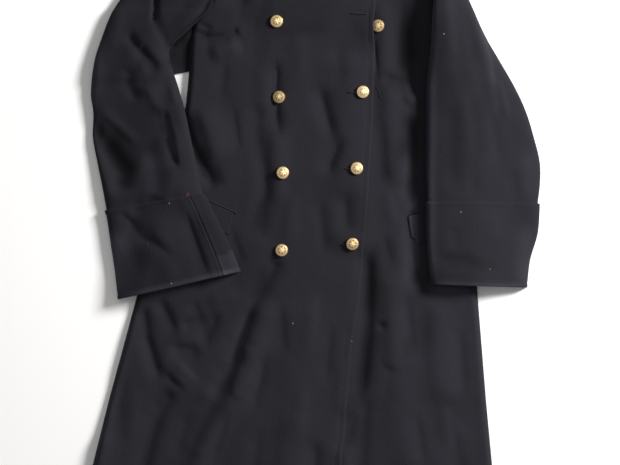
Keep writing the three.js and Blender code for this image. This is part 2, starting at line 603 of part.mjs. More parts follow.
// Round domed button with a raised rim, seated on the cloth and leaning with it.
const BUTTON_SIDES = 16;
function buttonGeometry(height) {
  const outline = [
    [0, 0],
    [BUTTON_RADIUS * 0.72, 0],
    [BUTTON_RADIUS, height * 0.2],
    [BUTTON_RADIUS, height * 0.5],
    [BUTTON_RADIUS * 0.88, height * 0.6],
    [BUTTON_RADIUS * 0.8, height * 0.58],
    [BUTTON_RADIUS * 0.5, height * 0.9],
    [0, height],
  ];
  const points = outline.slice(1, -1).flatMap(([radius, z]) => {
    return Array.from({ length: BUTTON_SIDES }, (_, i) => {
      const turn = i * 2 * Math.PI / BUTTON_SIDES;
      return new THREE.Vector3(radius * Math.cos(turn), radius * Math.sin(turn), z);
    });
  });
  const rings = outline.length - 2;
  const foot = points.push(new THREE.Vector3(0, 0, 0)) - 1;
  const crown = points.push(new THREE.Vector3(0, 0, height)) - 1;
  const faces = [];
  for (let i = 0; i < BUTTON_SIDES; i += 1) {
    const n = (i + 1) % BUTTON_SIDES;
    faces.push([foot, n, i]);
    faces.push([crown, (rings - 1) * BUTTON_SIDES + i, (rings - 1) * BUTTON_SIDES + n]);
    for (let r = 0; r < rings - 1; r += 1) {
      const low = r * BUTTON_SIDES;
      const high = low + BUTTON_SIDES;
      faces.push([low + i, low + n, high + n]);
      faces.push([low + i, high + n, high + i]);
    }
  }
  return closedGeometry(points, faces);
}

for (const button of BUTTONS) {
  const x = planX(button.x);
  const y = planY(button.y);
  const meshes = button.sunk ? [frontUnder] : [frontOver, frontUnder];
  const rim = Array.from({ length: 12 }, (_, i) => {
    const turn = i * Math.PI / 6;
    const px = x + BUTTON_RADIUS * Math.cos(turn);
    const py = y + BUTTON_RADIUS * Math.sin(turn);
    return new THREE.Vector3(px, py, heightOn(meshes, px, py, 0));
  });
  const slopeX = rim.reduce((sum, p) => sum + (p.x - x) * p.z, 0) / (6 * BUTTON_RADIUS ** 2);
  const slopeY = rim.reduce((sum, p) => sum + (p.y - y) * p.z, 0) / (6 * BUTTON_RADIUS ** 2);
  const upright = new THREE.Vector3(-slopeX, -slopeY, 1).normalize();
  const middle = new THREE.Vector3(x, y, heightOn(meshes, x, y, 0));
  const clear = Math.max(...[...rim, middle].map((p) => p.clone().sub(middle).dot(upright)));
  const geometry = buttonGeometry(button.height);
  const turn = new THREE.Quaternion().setFromUnitVectors(new THREE.Vector3(0, 0, 1), upright);
  geometry.applyQuaternion(turn);
  geometry.translate(...middle.addScaledVector(upright, clear + SEAM).toArray());
  add(button.name, geometry, GILT);
}

// ---- collar ----
// A stand that rises from the neckline and a fall that turns over it and lies on the shoulders.
const NECK = { x: 328, y: -106, across: 45, deep: 21 };
const COLLAR_TURNS = 26;
const COLLAR_OPEN = 9; // degrees left open either side of the throat
const COLLAR_SECTION = [
  { out: 0, lift: 0 },
  { out: 0.03, lift: 0.62 },
  { out: 0.1, lift: 1 },
  { out: 0.4, lift: 0.82 },
  { out: 0.72, lift: 0.36 },
  { out: 1, lift: 0 },
];
const COLLAR_STAND = 17;
const COLLAR_REACH = 12; // the collar lies on the highest cloth within this distance
const neckline = [frontOver, frontUnder, back];
const collarGrid = Array.from({ length: COLLAR_TURNS + 1 }, (_, j) => {
  const turn = mix(COLLAR_OPEN, 360 - COLLAR_OPEN, j / COLLAR_TURNS);
  const angle = THREE.MathUtils.degToRad(turn);
  const toward = new THREE.Vector2(-Math.sin(angle), -Math.cos(angle));
  const rootX = planX(NECK.x) + NECK.across * STEP * toward.x;
  const rootY = planY(NECK.y) + NECK.deep * STEP * toward.y;
  const fore = (1 + Math.cos(angle)) / 2;
  const fall = mix(44, 82, fore ** 1.5);
  const point = Math.max(0, 1 - Math.min(turn, 360 - turn) / 30) * 10;
  return COLLAR_SECTION.map((section) => {
    const reach = section.out * (fall + point) + 3;
    const x = rootX + toward.x * reach;
    const y = rootY + toward.y * reach;
    const ground = heightOn(neckline, x, y, COLLAR_REACH) + COLLAR_CLEAR;
    return new THREE.Vector3(x, y, ground + section.lift * COLLAR_STAND);
  });
});
const collarNormals = gridNormals(collarGrid);
add("collar", wall(shifted(collarGrid, collarNormals, CLOTH), collarGrid), WOOL);

// The coat's box is centred on the frame's origin.
const box = new THREE.Box3().setFromObject(coat);
const middle = box.getCenter(new THREE.Vector3());
coat.children.forEach((mesh) => mesh.geometry.translate(-middle.x, -middle.y, -box.min.z));

export default coat;
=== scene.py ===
# %% [markdown]
# # A double-breasted greatcoat, laid flat
#
# A greatcoat is a heavy wool overcoat: a back, two fronts that cross, two-piece sleeves with deep
# turned-back cuffs, pocket flaps, a collar and gilt buttons. This one lies on its back, buttoned. A plain
# model gives every piece its size and place. Here each panel becomes a thin shell of cloth with soft
# folds, rolled edges and a milled surface, and the plain buttons become embossed ones.
#
# The steps: load the frame, draw the plan, mix the wool, make the body, the sleeves, the pocket flaps,
# the collar, the buttons and the sewing, then set the lights and the camera.

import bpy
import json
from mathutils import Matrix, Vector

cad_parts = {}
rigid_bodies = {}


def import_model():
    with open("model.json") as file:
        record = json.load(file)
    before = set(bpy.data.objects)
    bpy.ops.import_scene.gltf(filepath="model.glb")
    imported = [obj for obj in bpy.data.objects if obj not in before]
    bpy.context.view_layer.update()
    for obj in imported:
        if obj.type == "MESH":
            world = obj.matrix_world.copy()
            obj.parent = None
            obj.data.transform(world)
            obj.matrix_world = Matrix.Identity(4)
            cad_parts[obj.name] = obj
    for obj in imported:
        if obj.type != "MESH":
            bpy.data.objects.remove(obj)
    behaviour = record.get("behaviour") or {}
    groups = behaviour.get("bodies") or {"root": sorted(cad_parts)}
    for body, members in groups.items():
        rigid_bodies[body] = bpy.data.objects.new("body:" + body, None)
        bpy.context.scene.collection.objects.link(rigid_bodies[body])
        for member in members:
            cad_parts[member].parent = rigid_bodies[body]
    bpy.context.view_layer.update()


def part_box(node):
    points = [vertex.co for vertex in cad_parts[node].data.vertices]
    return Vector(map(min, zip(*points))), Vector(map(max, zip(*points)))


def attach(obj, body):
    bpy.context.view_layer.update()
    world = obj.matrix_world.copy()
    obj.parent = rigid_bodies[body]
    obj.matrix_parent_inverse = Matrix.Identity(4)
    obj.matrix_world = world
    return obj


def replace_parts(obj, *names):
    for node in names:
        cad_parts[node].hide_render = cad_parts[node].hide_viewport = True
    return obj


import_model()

import json
import math

import bpy
import bmesh
import numpy as np
from mathutils import Matrix, Vector
from mathutils.bvhtree import BVHTree

# %% [markdown]
# ## The plan
#
# A cutter draws a coat on squared paper, and so does this lesson. Plan places are steps of 1.78 mm, with
# x to the wearer's left sleeve and y down the coat. All other sizes are in metres. The outlines could be
# read off the plain model's meshes, but short tables that repeat its own keep every edge in sight.

# %% Sizes that every piece shares
STEP = 0.00178  # one step of the plan
CENTRE_X, CENTRE_Y = 316.4, 188.0  # the plan place over the middle of the frame
CLOTH = 0.0030  # a wall of overcoating and lining
SEAM = 0.0004  # the gap between one layer and the next
LAYER = CLOTH + SEAM
FLOOR_CLEAR = 0.00005  # what keeps the lowest cloth off the floor
HEM_Y, YOKE_Y, TOP_Y = 532.0, 10.0, -100.0  # hem, the line above which the rows fan out, top row
BACK_INSET, YOKE_INSET = 0.0054, 0.0090  # the back stays this far inside the fronts, and more at the top

SIDES = np.array([  # y, left edge, right edge
    (-100, 194, 453), (-60, 203, 443), (-30, 208, 438), (0, 211, 435), (23, 194, 436),
    (48, 190, 443), (73, 189, 453), (105, 186, 463), (200, 162, 471), (300, 136, 478),
    (400, 109, 486), (464, 93, 492), (534, 75, 498)], float)

# %% Reading tables and plan places
def along(table, column, place):
    return np.interp(place, table[:, 0], table[:, column])


def smooth(value):
    t = np.clip(value, 0, 1)
    return t * t * (3 - 2 * t)


def side_left(gy):
    return along(SIDES, 1, gy)


def side_right(gy):
    return along(SIDES, 2, gy)


back_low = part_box("back")[0]  # the back's corner at the hem sets the plan on the frame
SHIFT_X = back_low[0] - ((side_left(HEM_Y) - CENTRE_X) * STEP + BACK_INSET)
SHIFT_Y = back_low[1] - (CENTRE_Y - HEM_Y) * STEP
print("plan set on the frame by", round(SHIFT_X, 5), round(SHIFT_Y, 5))


def plan_x(gx):
    return (gx - CENTRE_X) * STEP + SHIFT_X


def plan_y(gy):
    return (CENTRE_Y - gy) * STEP + SHIFT_Y


def to_plan(x, y):
    return (x - SHIFT_X) / STEP + CENTRE_X, CENTRE_Y - (y - SHIFT_Y) / STEP


# %% [markdown]
# ## Wool
#
# The cloth is milled wool: woven, then shrunk and brushed until a felted nap hides the weave. It is
# nearly black, with a soft bluish light where it turns away. Woven threads could be drawn one by one,
# but none show here. So two node groups do the work, one for the nap's tone and one for its bump,
# and any wool may use them with its own values.

# %% Node helpers
def new_group(name, inputs, outputs):
    group = bpy.data.node_groups.new(name, "ShaderNodeTree")
    for label, kind, value in inputs:
        socket = group.interface.new_socket(label, in_out="INPUT", socket_type=kind)
        socket.default_value = value
    for label, kind in outputs:
        group.interface.new_socket(label, in_out="OUTPUT", socket_type=kind)
    return group, group.nodes.new("NodeGroupInput"), group.nodes.new("NodeGroupOutput")


def noise(tree, scale, detail, rough, vector=None):
    node = tree.nodes.new("ShaderNodeTexNoise")
    node.inputs["Scale"].default_value = scale
    node.inputs["Detail"].default_value = detail
    node.inputs["Roughness"].default_value = rough
    if vector is not None:
        tree.links.new(vector, node.inputs["Vector"])
    return node.outputs["Fac"]


def math_node(tree, operation, a, b=None, c=None):
    node = tree.nodes.new("ShaderNodeMath")
    node.operation = operation
    for socket, value in zip(node.inputs, (a, b, c)):
        if value is None:
            continue
        if isinstance(value, (int, float)):
            socket.default_value = value
        else:
            tree.links.new(value, socket)
    return node.outputs[0]


def scaled(tree, colour, factor):
    """A colour, plain or linked, made paler or darker by a factor."""
    node = tree.nodes.new("ShaderNodeVectorMath")
    node.operation = "SCALE"
    if isinstance(colour, tuple):
        node.inputs[0].default_value = colour
    else:
        tree.links.new(colour, node.inputs[0])
    tree.links.new(factor, node.inputs["Scale"])
    return node.outputs["Vector"]


def attribute(tree, label):
    node = tree.nodes.new("ShaderNodeAttribute")
    node.attribute_name = label
    return node.outputs["Fac"]


def new_material(name):
    """A material with its node tree, its shader and the piece's own coordinates."""
    material = bpy.data.materials.new(name)
    material.use_nodes = True
    tree = material.node_tree
    place = tree.nodes.new("ShaderNodeTexCoord").outputs["Object"]
    return material, tree, tree.nodes["Principled BSDF"], place


# %% Tone of the nap
NAP_WAVES = (("Cloud", 9, 2), ("Mottle", 240, 4), ("Fibre", 1300, 2))  # name, scale per metre, detail


def make_nap_tone():
    """Tone of the wool's felted pile: slow cloudy wear, felted mottle and fine fibre, as one factor round 1.
    """
    group, source, sink = new_group(
        "Nap tone",
        [("Vector", "NodeSocketVector", (0, 0, 0)), ("Cloud", "NodeSocketFloat", 0.25),
         ("Mottle", "NodeSocketFloat", 0.3), ("Fibre", "NodeSocketFloat", 0.3)],
        [("Tone", "NodeSocketFloat")])
    place = source.outputs["Vector"]
    total = 1.0
    for label, scale, detail in NAP_WAVES:
        wave = math_node(group, "SUBTRACT", noise(group, scale, detail, 0.6, place), 0.5)
        total = math_node(group, "MULTIPLY_ADD", wave, source.outputs[label], total)
    group.links.new(total, sink.inputs["Tone"])
    return group


NAP_TONE = make_nap_tone()
print("group made:", NAP_TONE.name)

# %% Bump of the nap
def make_nap_bump():
    """Felted surface: short fibres over a soft milled unevenness."""
    group, source, sink = new_group(
        "Nap bump",
        [("Vector", "NodeSocketVector", (0, 0, 0)), ("Fibre height", "NodeSocketFloat", 0.00018),
         ("Milled height", "NodeSocketFloat", 0.0005)],
        [("Normal", "NodeSocketVector")])
    place = source.outputs["Vector"]
    fibre = math_node(group, "MULTIPLY", noise(group, 1500, 3, 0.65, place), source.outputs["Fibre height"])
    milled = math_node(group, "MULTIPLY", noise(group, 210, 3, 0.6, place), source.outputs["Milled height"])
    bump = group.nodes.new("ShaderNodeBump")
    bump.inputs["Distance"].default_value = 1.0
    group.links.new(math_node(group, "ADD", fibre, milled), bump.inputs["Height"])
    group.links.new(bump.outputs["Normal"], sink.inputs["Normal"])
    return group


NAP_BUMP = make_nap_bump()
print("group made:", NAP_BUMP.name)

# %% Wool
NAVY = (0.0158, 0.0151, 0.0196)
NAVY_FACING = (0.0262, 0.0250, 0.0318)


def wool(name, colour, facing):
    """Wool in its main colour, in a facing colour where "pale" is 1, and painted paler or darker by its
    painted shade and light.
    """
    material, tree, shader, place = new_material(name)
    tone = tree.nodes.new("ShaderNodeGroup")
    tone.node_tree = NAP_TONE
    bump = tree.nodes.new("ShaderNodeGroup")
    bump.node_tree = NAP_BUMP
    for group in (tone, bump):
        tree.links.new(place, group.inputs["Vector"])
    mixed = tree.nodes.new("ShaderNodeMix")
    mixed.data_type = "RGBA"
    tree.links.new(attribute(tree, "pale"), mixed.inputs["Factor"])
    mixed.inputs["A"].default_value = (*colour, 1)
    mixed.inputs["B"].default_value = (*facing, 1)
    felt = tone.outputs["Tone"]
    # painted shade and light: a point attribute makes the felt's tone darker or paler in patches
    painted_tone = math_node(tree, "MULTIPLY_ADD", felt, attribute(tree, "painted_shade_and_light"), felt)
    tree.links.new(scaled(tree, mixed.outputs["Result"], painted_tone), shader.inputs["Base Color"])
    tree.links.new(bump.outputs["Normal"], shader.inputs["Normal"])
    shader.inputs["Roughness"].default_value = 0.92
    shader.inputs["Specular IOR Level"].default_value = 0.10
    shader.inputs["Sheen Weight"].default_value = 0.04
    shader.inputs["Sheen Roughness"].default_value = 0.45
    shader.inputs["Sheen Tint"].default_value = (0.62, 0.66, 0.80, 1)
    return material


WOOL = wool("Navy melton", NAVY, NAVY_FACING)
print("material made:", WOOL.name)

# %% [markdown]
# ## The body
#
# The body is a back panel and two fronts, the right one crossing over the left. It could be pinned up in a
# cloth simulation, but a coat that lies still is easier to place: the creases then fall where
# they are wanted. Both fronts share one grid of points, so they stay parallel where they cross.

# %% Outlines and heights of the body
FRONT_EDGE = np.array([  # y, x
    (-100, 377), (0, 375.5), (60, 374), (120, 372), (180, 368), (225, 365),
    (300, 358), (345, 351), (405, 346), (465, 341), (534, 335)], float)
CENTRE_FRONT = np.array([(-100, 331), (0, 329), (250, 317), (465, 306), (534, 302)], float)  # y, x
TOP_LINE = np.array([  # x, front's top, back's top
    (190, -78, -78), (281, -111, -113), (294, -98, -119), (327, -87, -122),
    (360, -98, -119), (373, -111, -113), (460, -78, -78)], float)
REST, LEAST_ROOM = 0.0080, 0.0020  # room between back and front, and how softly it closes in a deep fold
LEAST_RISE = 0.0003  # the deepest fold still clears the back by this
ROLL = 0.0090  # how far in from the side the cloth rolls down to the back
YOKE_START, YOKE_EASE = 2, 60  # below the neck the room opens after so many steps, over so many


def front_edge(gy):
    return along(FRONT_EDGE, 1, gy)


def under_edge(gy):
    return 2 * along(CENTRE_FRONT, 1, gy) - front_edge(gy)


print("crossing at the chest:", round(float(front_edge(100) - under_edge(100)) * STEP, 3), "m wide")

# %% [markdown]
# ### Folds
#
# A fold is one row: where it starts and ends, how wide it is on the left and on the right of its line
# (walking from start to end), and how high it stands in millimetres, or how deep with a minus sign.
# A narrow side makes a sharp lip, a wide side a slow slope, so one row can be a soft swell or an edge.
# Rows that follow one another end to start make one bent fold. The solver of a cloth simulation would
# choose its own folds, and a painted height would need an image, so a table of rows is used.

# %% Folds of the body
BODY_FOLDS = [  # x0, y0, x1, y1, left, right, height in mm
    (193, 30, 209, 38, 3.5, 6, -5), (209, 38, 225, 36.5, 3, 6, -5), (225, 36.5, 238, 30, 3, 6, -5),
    (196, 22, 212, 30, 3, 5, -3.5), (211, 54, 239, 46, 9.3, 8.8, 6.3), (240, -18, 240, 10, 8.8, 13.5, -6.3),
    (182, 112, 192, 148, 6.5, 8, -9.2), (192, 148, 213, 187, 7, 7, -10), (202, 108, 219, 162, 15, 9, 8),
    (276, 62, 278, 137, 4, 9.6, -6), (258, 106, 258, 138, 9, 9.5, -4.9),
    (258, 138, 266, 182, 8.9, 9.6, -4.9), (266, 182, 257, 238, 9, 9.4, -5.5),
    (276, 122, 277, 202, 9, 8, 4.6), (319, 88, 333, 138, 7, 8.7, -6.3),
    (341, 138, 327, 174, 5.9, 10.6, -6.3), (352, 56, 346, 250, 22.1, 22.4, 7),
    (345, 194, 347, 232, 6, 9.6, -4.6), (410, -18, 408, 62, 12, 14.7, -12),
    (408, 62, 414, 98, 7.1, 11.2, -9.5), (411, 118, 411, 202, 6.4, 9, -9.2), (406, 84, 412, 104, 7, 6, 6),
    (383, 6, 387, 72, 14.8, 9.5, 6.3), (387, 72, 394, 182, 14.8, 10.3, 8),
    (413, 202, 416, 287, 5.6, 11.1, -6.3), (383, 78, 403, 82, 5, 9.6, -4.6),
    (278, 258, 262, 288, 8.1, 10, -8), (262, 288, 238, 343, 9, 9.5, -7.5),
    (238, 343, 237, 363, 7.9, 11.1, -7), (237, 363, 211, 393, 10.8, 10, -7),
    (265, 302, 249, 351, 14.3, 10, 9.2), (249, 351, 235, 393, 11.9, 7.5, 11),
    (235, 393, 201, 452, 12.7, 9.5, 9.5), (201, 452, 183, 530, 16.8, 11.5, 8),
    (143, 307, 147, 339, 6.3, 7.4, -6.3), (147, 339, 159, 379, 6.3, 7.5, -8),
    (171, 391, 155, 419, 7.8, 9.2, -8), (155, 419, 141, 472, 8.3, 10.8, -8),
    (141, 472, 129, 532, 9, 13.3, -6.3), (159, 299, 177, 335, 6.2, 7.5, -6.3),
    (181, 325, 207, 321, 5.7, 9.6, -6.3), (171, 349, 199, 349, 5.5, 9.9, -6.3),
    (201, 345, 217, 314, 8.1, 6.9, -6.3), (187, 368, 175, 380, 13.1, 11, 6.3),
    (107, 432, 95, 532, 14.6, 9.7, 6.3), (367, 255, 367, 327, 7, 9, -8), (367, 327, 359, 398, 7.5, 9, -8.6),
    (353, 414, 342, 452, 7.5, 10.7, -6.3), (391, 272, 393, 362, 16, 10.3, 8),
    (393, 362, 407, 472, 18.6, 13, 5), (366, 399, 362, 437, 6, 8.5, -4), (362, 437, 356, 530, 7.2, 11, -4),
    (435, 302, 441, 402, 17.3, 11.1, 6.3), (451, 432, 469, 530, 7.9, 12.4, -4),
    (295, 302, 291, 422, 24, 20, 4.6), (291, 422, 281, 530, 22, 14.5, 6.3),
    (315, 442, 309, 530, 8, 12.2, -6.3),
]
FINE_FOLDS = [  # small creases and hollows, too fine for the plain model
    (225, 61, 221, 97, 5, 8, -2.1), (233, 109, 239, 151, 4, 7, -2.4), (235, 15, 259, 23, 6, 9, -1.8),
    (297, 35, 303, 85, 7, 10, 2.1), (337, 41, 341, 85, 6, 8, -1.8), (319, 201, 325, 251, 7, 7, -2.4),
    (293, 197, 287, 247, 9, 7, 2.4), (229, 229, 243, 263, 5, 8, -2.4), (209, 301, 237, 293, 5, 8, 2.7),
    (193, 301, 201, 319, 4, 7, -2.4), (219, 373, 201, 403, 5, 9, 2.4), (125, 373, 115, 421, 6, 9, -2.4),
    (137, 393, 129, 441, 5, 8, 2.2), (189, 413, 175, 453, 6, 9, -2.7), (265, 353, 253, 411, 6, 9, -3),
    (279, 301, 285, 353, 5, 9, -2.1), (313, 293, 307, 357, 6, 9, 2.4), (331, 327, 325, 381, 5, 8, -2.4),
    (383, 233, 389, 263, 5, 8, -2.4), (377, 324, 387, 326, 3, 5, -3), (405, 293, 411, 351, 5, 9, -2.7),
    (459, 331, 463, 393, 5, 9, -2.4), (415, 413, 423, 463, 5, 9, -2.7), (443, 405, 449, 451, 5, 8, 2.4),
    (399, 231, 401, 283, 6, 8, 2.4), (381, 121, 385, 177, 7, 9, -2), (375, 41, 377, 75, 2.2, 3.5, -2.4),
    (387, 191, 393, 225, 5, 8, 2.1), (303, 385, 297, 441, 6, 9, 2.1), (343, 361, 339, 411, 4, 7, 2.1),
    (227, 413, 211, 463, 4, 8, -3), (259, 431, 247, 501, 7, 9, -3), (347, 441, 343, 511, 7, 9, 2.7),
    (163, 471, 153, 529, 6, 9, 2.7), (427, 471, 435, 529, 8, 8, 3),
]
print("folds of the body:", len(BODY_FOLDS), "and", len(FINE_FOLDS), "fine ones")

# %% Summing rows
FADE_MOST, FADE_SHARE, FADE_PAST = 22.0, 0.45, 0.35  # a free end fades over so many steps or this share of it
FLANK_EASE = 1.2  # plan steps over which the left width gives way to the right one


def strokes(rows, gx, gy):
    """Rows that follow one another end to start are one bent stroke, which dies away at its free ends."""
    total, held = np.zeros_like(gx, float), 0.0
    starts = [row[:2] for row in rows[1:]] + [None]
    end = None
    for (x0, y0, x1, y1, left, right, height), following in zip(rows, starts):
        dx, dy = x1 - x0, y1 - y0
        length = math.hypot(dx, dy)
        run = ((gx - x0) * dx + (gy - y0) * dy) / length
        t = np.clip(run / length, 0, 1)
        away = np.hypot(gx - x0 - t * dx, gy - y0 - t * dy)
        side = (dx * (gy - y0) - dy * (gx - x0)) / length
        half = left + (right - left) * (0.5 + 0.5 * np.tanh(side / FLANK_EASE))
        value = height * np.exp(-((away / half) ** 2))
        fade = min(FADE_MOST, FADE_SHARE * length)
        joined = end == (x0, y0)
        if not joined:
            value *= smooth((run + FADE_PAST * fade) / fade)
        if following != (x1, y1):
            value *= smooth((length - run + FADE_PAST * fade) / fade)
        if joined:
            held = np.where(np.abs(value) > np.abs(held), value, held)
        else:
            total, held = total + held, value
        end = (x1, y1)
    return total + held


def fold_height(folds, gx, gy):
    return 0.001 * strokes(folds, gx, gy)


# %% Slow unevenness of cloth that has been worn
WAVES = [  # along x, along y, phase
    (1.0, 0.31, 0.4), (-0.6, 0.9, 1.9), (0.35, -1.1, 3.1), (1.4, 0.8, 0.7), (-1.3, 1.2, 2.6)]
WAVE_BEND = 1.7


def unevenness(gx, gy, size):
    """A few slow waves that cross, between about -1 and 1."""
    total = np.zeros_like(gx, float)
    for kx, ky, phase in WAVES:
        total += np.sin((kx * gx + ky * gy) / size + phase + 0.9 * np.sin(gy / size / WAVE_BEND + phase))
    return total / len(WAVES)


# %% Body grid
LENGTH_CELLS = 300
CELLS = {"left": 66, "cross": 40, "right": 50, "roll": 8}
BROAD_WEAR, BROAD_LENGTH = 0.0007, 13  # height, and length in plan steps
FINE_WEAR, FINE_LENGTH = 0.00025, 5
LEAST_DROP = 0.02  # share of its height that the cloth keeps at the very side


def body_height(gx, gy):
    """The height of the fronts' inside over the floor, folds and all."""
    top = along(TOP_LINE, 1, gx)
    yoke = smooth((gy - top - YOKE_START) / YOKE_EASE)
    relief = fold_height(BODY_FOLDS, gx, gy) + fold_height(FINE_FOLDS, gx, gy)
    relief += BROAD_WEAR * unevenness(gx, gy, BROAD_LENGTH) + FINE_WEAR * unevenness(gy, gx, FINE_LENGTH)
    room = REST + relief
    return LAYER + np.maximum(LEAST_RISE, 0.5 * (room + np.sqrt(room**2 + LEAST_ROOM**2)) * yoke)


def fanned(gx, gy, column):
    """Above the yoke line the rows fan out, so that the top one follows the neck and shoulders."""
    top = along(TOP_LINE, column, gx)
    return np.where(gy < YOKE_Y, YOKE_Y + (gy - YOKE_Y) * (YOKE_Y - top) / (YOKE_Y - TOP_Y), gy)


def body_grid():
    gy = np.linspace(TOP_Y, HEM_Y, LENGTH_CELLS + 1)[:, None]
    turn = np.linspace(0, math.pi / 2, CELLS["roll"] + 1)[:-1]
    inset = (CLOTH + ROLL * (1 - np.cos(turn))) / STEP
    full = (CLOTH + ROLL) / STEP
    left, right = side_left(gy), side_right(gy)
    stops = [left + full, under_edge(gy), front_edge(gy), right - full]
    parts = [left + inset]
    for a, b, cells in zip(stops[:-1], stops[1:], (CELLS["left"], CELLS["cross"], CELLS["right"])):
        parts.append(a + (b - a) * np.linspace(0, 1, cells + 1)[:-1])
    parts += [stops[-1], right - inset[::-1]]
    gx = np.concatenate(parts, axis=1)
    middle = np.ones(gx.shape[1] - 2 * len(turn))
    rolled = np.maximum(LEAST_DROP, np.sin(turn))
    drop = np.concatenate([rolled, middle, rolled[::-1]])
    y = fanned(gx, gy + 0 * gx, 1)
    z = body_height(gx, y) * drop
    return gx, y, np.stack([plan_x(gx), plan_y(y), z], -1)


def grid_normals(grid):
    across = np.gradient(grid, axis=1)
    down = np.gradient(grid, axis=0)
    normal = np.cross(across, down)
    normal /= np.linalg.norm(normal, axis=2, keepdims=True)
    return normal if normal[..., 2].sum() > 0 else -normal


body_gx, body_gy, BODY = body_grid()
BODY_NORMALS = grid_normals(BODY)
UNDER_COLUMN = CELLS["roll"] + CELLS["left"]
EDGE_COLUMN = UNDER_COLUMN + CELLS["cross"]
print("body grid:", BODY.shape[0], "rows of", BODY.shape[1], "points")

# %% [markdown]
# ### A shell of cloth
#
# Thick cloth has a top face, an under face and a turned edge between them. Solidify would add a wall with
# a square edge. Here the two faces are two grids, and the edge is a half-round rim, as wool turns.

# %% Adding a piece
def add_piece(name, mesh):
    """A mesh as a piece of its own on the coat's one body."""
    piece = bpy.data.objects.new(name, mesh)
    bpy.context.collection.objects.link(piece)
    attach(piece, "root")
    return piece


# %% Shells from grids
RIM_STEPS = 4
RIM_FULLNESS = 0.6  # how far the rim bulges, as a share of half the wall


def border(rows, cols):
    top = [(0, i) for i in range(cols - 1)]
    right = [(j, cols - 1) for j in range(rows - 1)]
    low = [(rows - 1, i) for i in range(cols - 1, 0, -1)]
    left = [(j, 0) for j in range(rows - 1, 0, -1)]
    return np.array(top + right + low + left)


def shell(name, outer, inner):
    """One closed shell between two grids, with a half-round rim."""
    if outer[0, -1, 0] < outer[0, 0, 0]:
        outer, inner = outer[:, ::-1], inner[:, ::-1]
    rows, cols, _ = outer.shape
    loop = border(rows, cols)
    j, i = loop[:, 0], loop[:, 1]
    inside = outer[np.clip(j, 1, rows - 2), np.clip(i, 1, cols - 2)]
    middle = (outer[j, i] + inner[j, i]) / 2
    half = (outer[j, i] - inner[j, i]) / 2
    away = outer[j, i] - inside
    unit = half / np.linalg.norm(half, axis=1, keepdims=True)
    away -= unit * (away * unit).sum(1, keepdims=True)
    away /= np.linalg.norm(away, axis=1, keepdims=True) + 1e-12
    bulge = np.linalg.norm(half, axis=1, keepdims=True) * RIM_FULLNESS
    rim = [middle + math.cos(t) * half + math.sin(t) * bulge * away
           for t in np.linspace(0, math.pi, RIM_STEPS + 2)[1:-1]]
    points = np.concatenate([outer.reshape(-1, 3), *rim, inner.reshape(-1, 3)])
    count, ring = rows * cols, len(loop)
    cell = np.arange(count).reshape(rows, cols)
    quads = np.stack([cell[:-1, :-1], cell[1:, :-1], cell[1:, 1:], cell[:-1, 1:]], -1).reshape(-1, 4)
    under = quads[:, ::-1] + count + RIM_STEPS * ring
    edge = j * cols + i
    rings = [edge, *[count + k * ring + np.arange(ring) for k in range(RIM_STEPS)],
             edge + count + RIM_STEPS * ring]
    sides = []
    for a, b in zip(rings[:-1], rings[1:]):
        sides.append(np.stack([a, np.roll(a, -1), np.roll(b, -1), b], -1))
    faces = np.concatenate([quads, under, *sides])
    mesh = bpy.data.meshes.new(name)
    mesh.vertices.add(len(points))
    mesh.vertices.foreach_set("co", points.astype(np.float32).ravel())
    mesh.loops.add(faces.size)
    mesh.loops.foreach_set("vertex_index", faces.astype(np.int32).ravel())
    mesh.polygons.add(len(faces))
    mesh.polygons.foreach_set("loop_start", np.arange(0, faces.size, 4, dtype=np.int32))
    mesh.polygons.foreach_set("use_smooth", np.ones(len(faces), bool))
    mesh.update(calc_edges=True)
    mesh.materials.append(WOOL)
    return add_piece(name, mesh)


# %% Each piece of cloth
ON_CLOTH = {}  # the separate small things on each cloth piece, by its name


def cloth_piece(name, outer, inner):
    """A shell that takes the place of its part in the plain model, with a list for the small things on it."""
    piece = shell(name, outer, inner)
    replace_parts(piece, name.replace("_cloth", ""))
    ON_CLOTH[name] = []
    return piece


# %% Fronts
COVERED_BUTTON = {"x": 374, "y": 26, "spread": 20, "lift": 0.0095}  # it lifts the crossing front
STEP_UP = {"parts": 9, "before": 3, "over": 2.2}  # the crossing front rises in ninths of the left span
EDGE_DIP = (-0.0009, 0.0090, 0.0016)  # along the stitching: height, distance from the edge, width
EDGE_LIP = (0.0006, 0.0040, 0.0030)  # outside it


def ridge(distance, height, place, width):
    return height * np.exp(-(((distance - place) / width) ** 2))


def crossing_lift():
    column = np.arange(BODY.shape[1])[None, :] - UNDER_COLUMN
    step = smooth((column * STEP_UP["parts"] / CELLS["left"] + STEP_UP["before"]) / STEP_UP["over"]) * LAYER
    away = np.hypot(body_gx - COVERED_BUTTON["x"], body_gy - COVERED_BUTTON["y"]) / COVERED_BUTTON["spread"]
    return step + COVERED_BUTTON["lift"] * np.exp(-(away**2))


def front(name, first, last, lift, finish):
    grid = BODY[:, first:last + 1]
    normals = BODY_NORMALS[:, first:last + 1]
    low = lift[:, first:last + 1, None]
    high = low + CLOTH + finish[:, first:last + 1, None]
    return cloth_piece(name, grid + normals * high, grid + normals * low)


from_edge = (front_edge(body_gy) - body_gx) * STEP
pressed_edge = ridge(from_edge, *EDGE_DIP) + ridge(from_edge, *EDGE_LIP)
plain_edge = np.zeros_like(pressed_edge)
FRONT_RIGHT = front("front_right_cloth", 0, EDGE_COLUMN, crossing_lift(), pressed_edge)
FRONT_LEFT = front("front_left_cloth", UNDER_COLUMN, BODY.shape[1] - 1, plain_edge, plain_edge)

# %% Back
BACK_CELLS = (120, 60)  # down, across
BACK_EASE = (20, 70)  # below the top row the inset narrows after so many steps, over so many


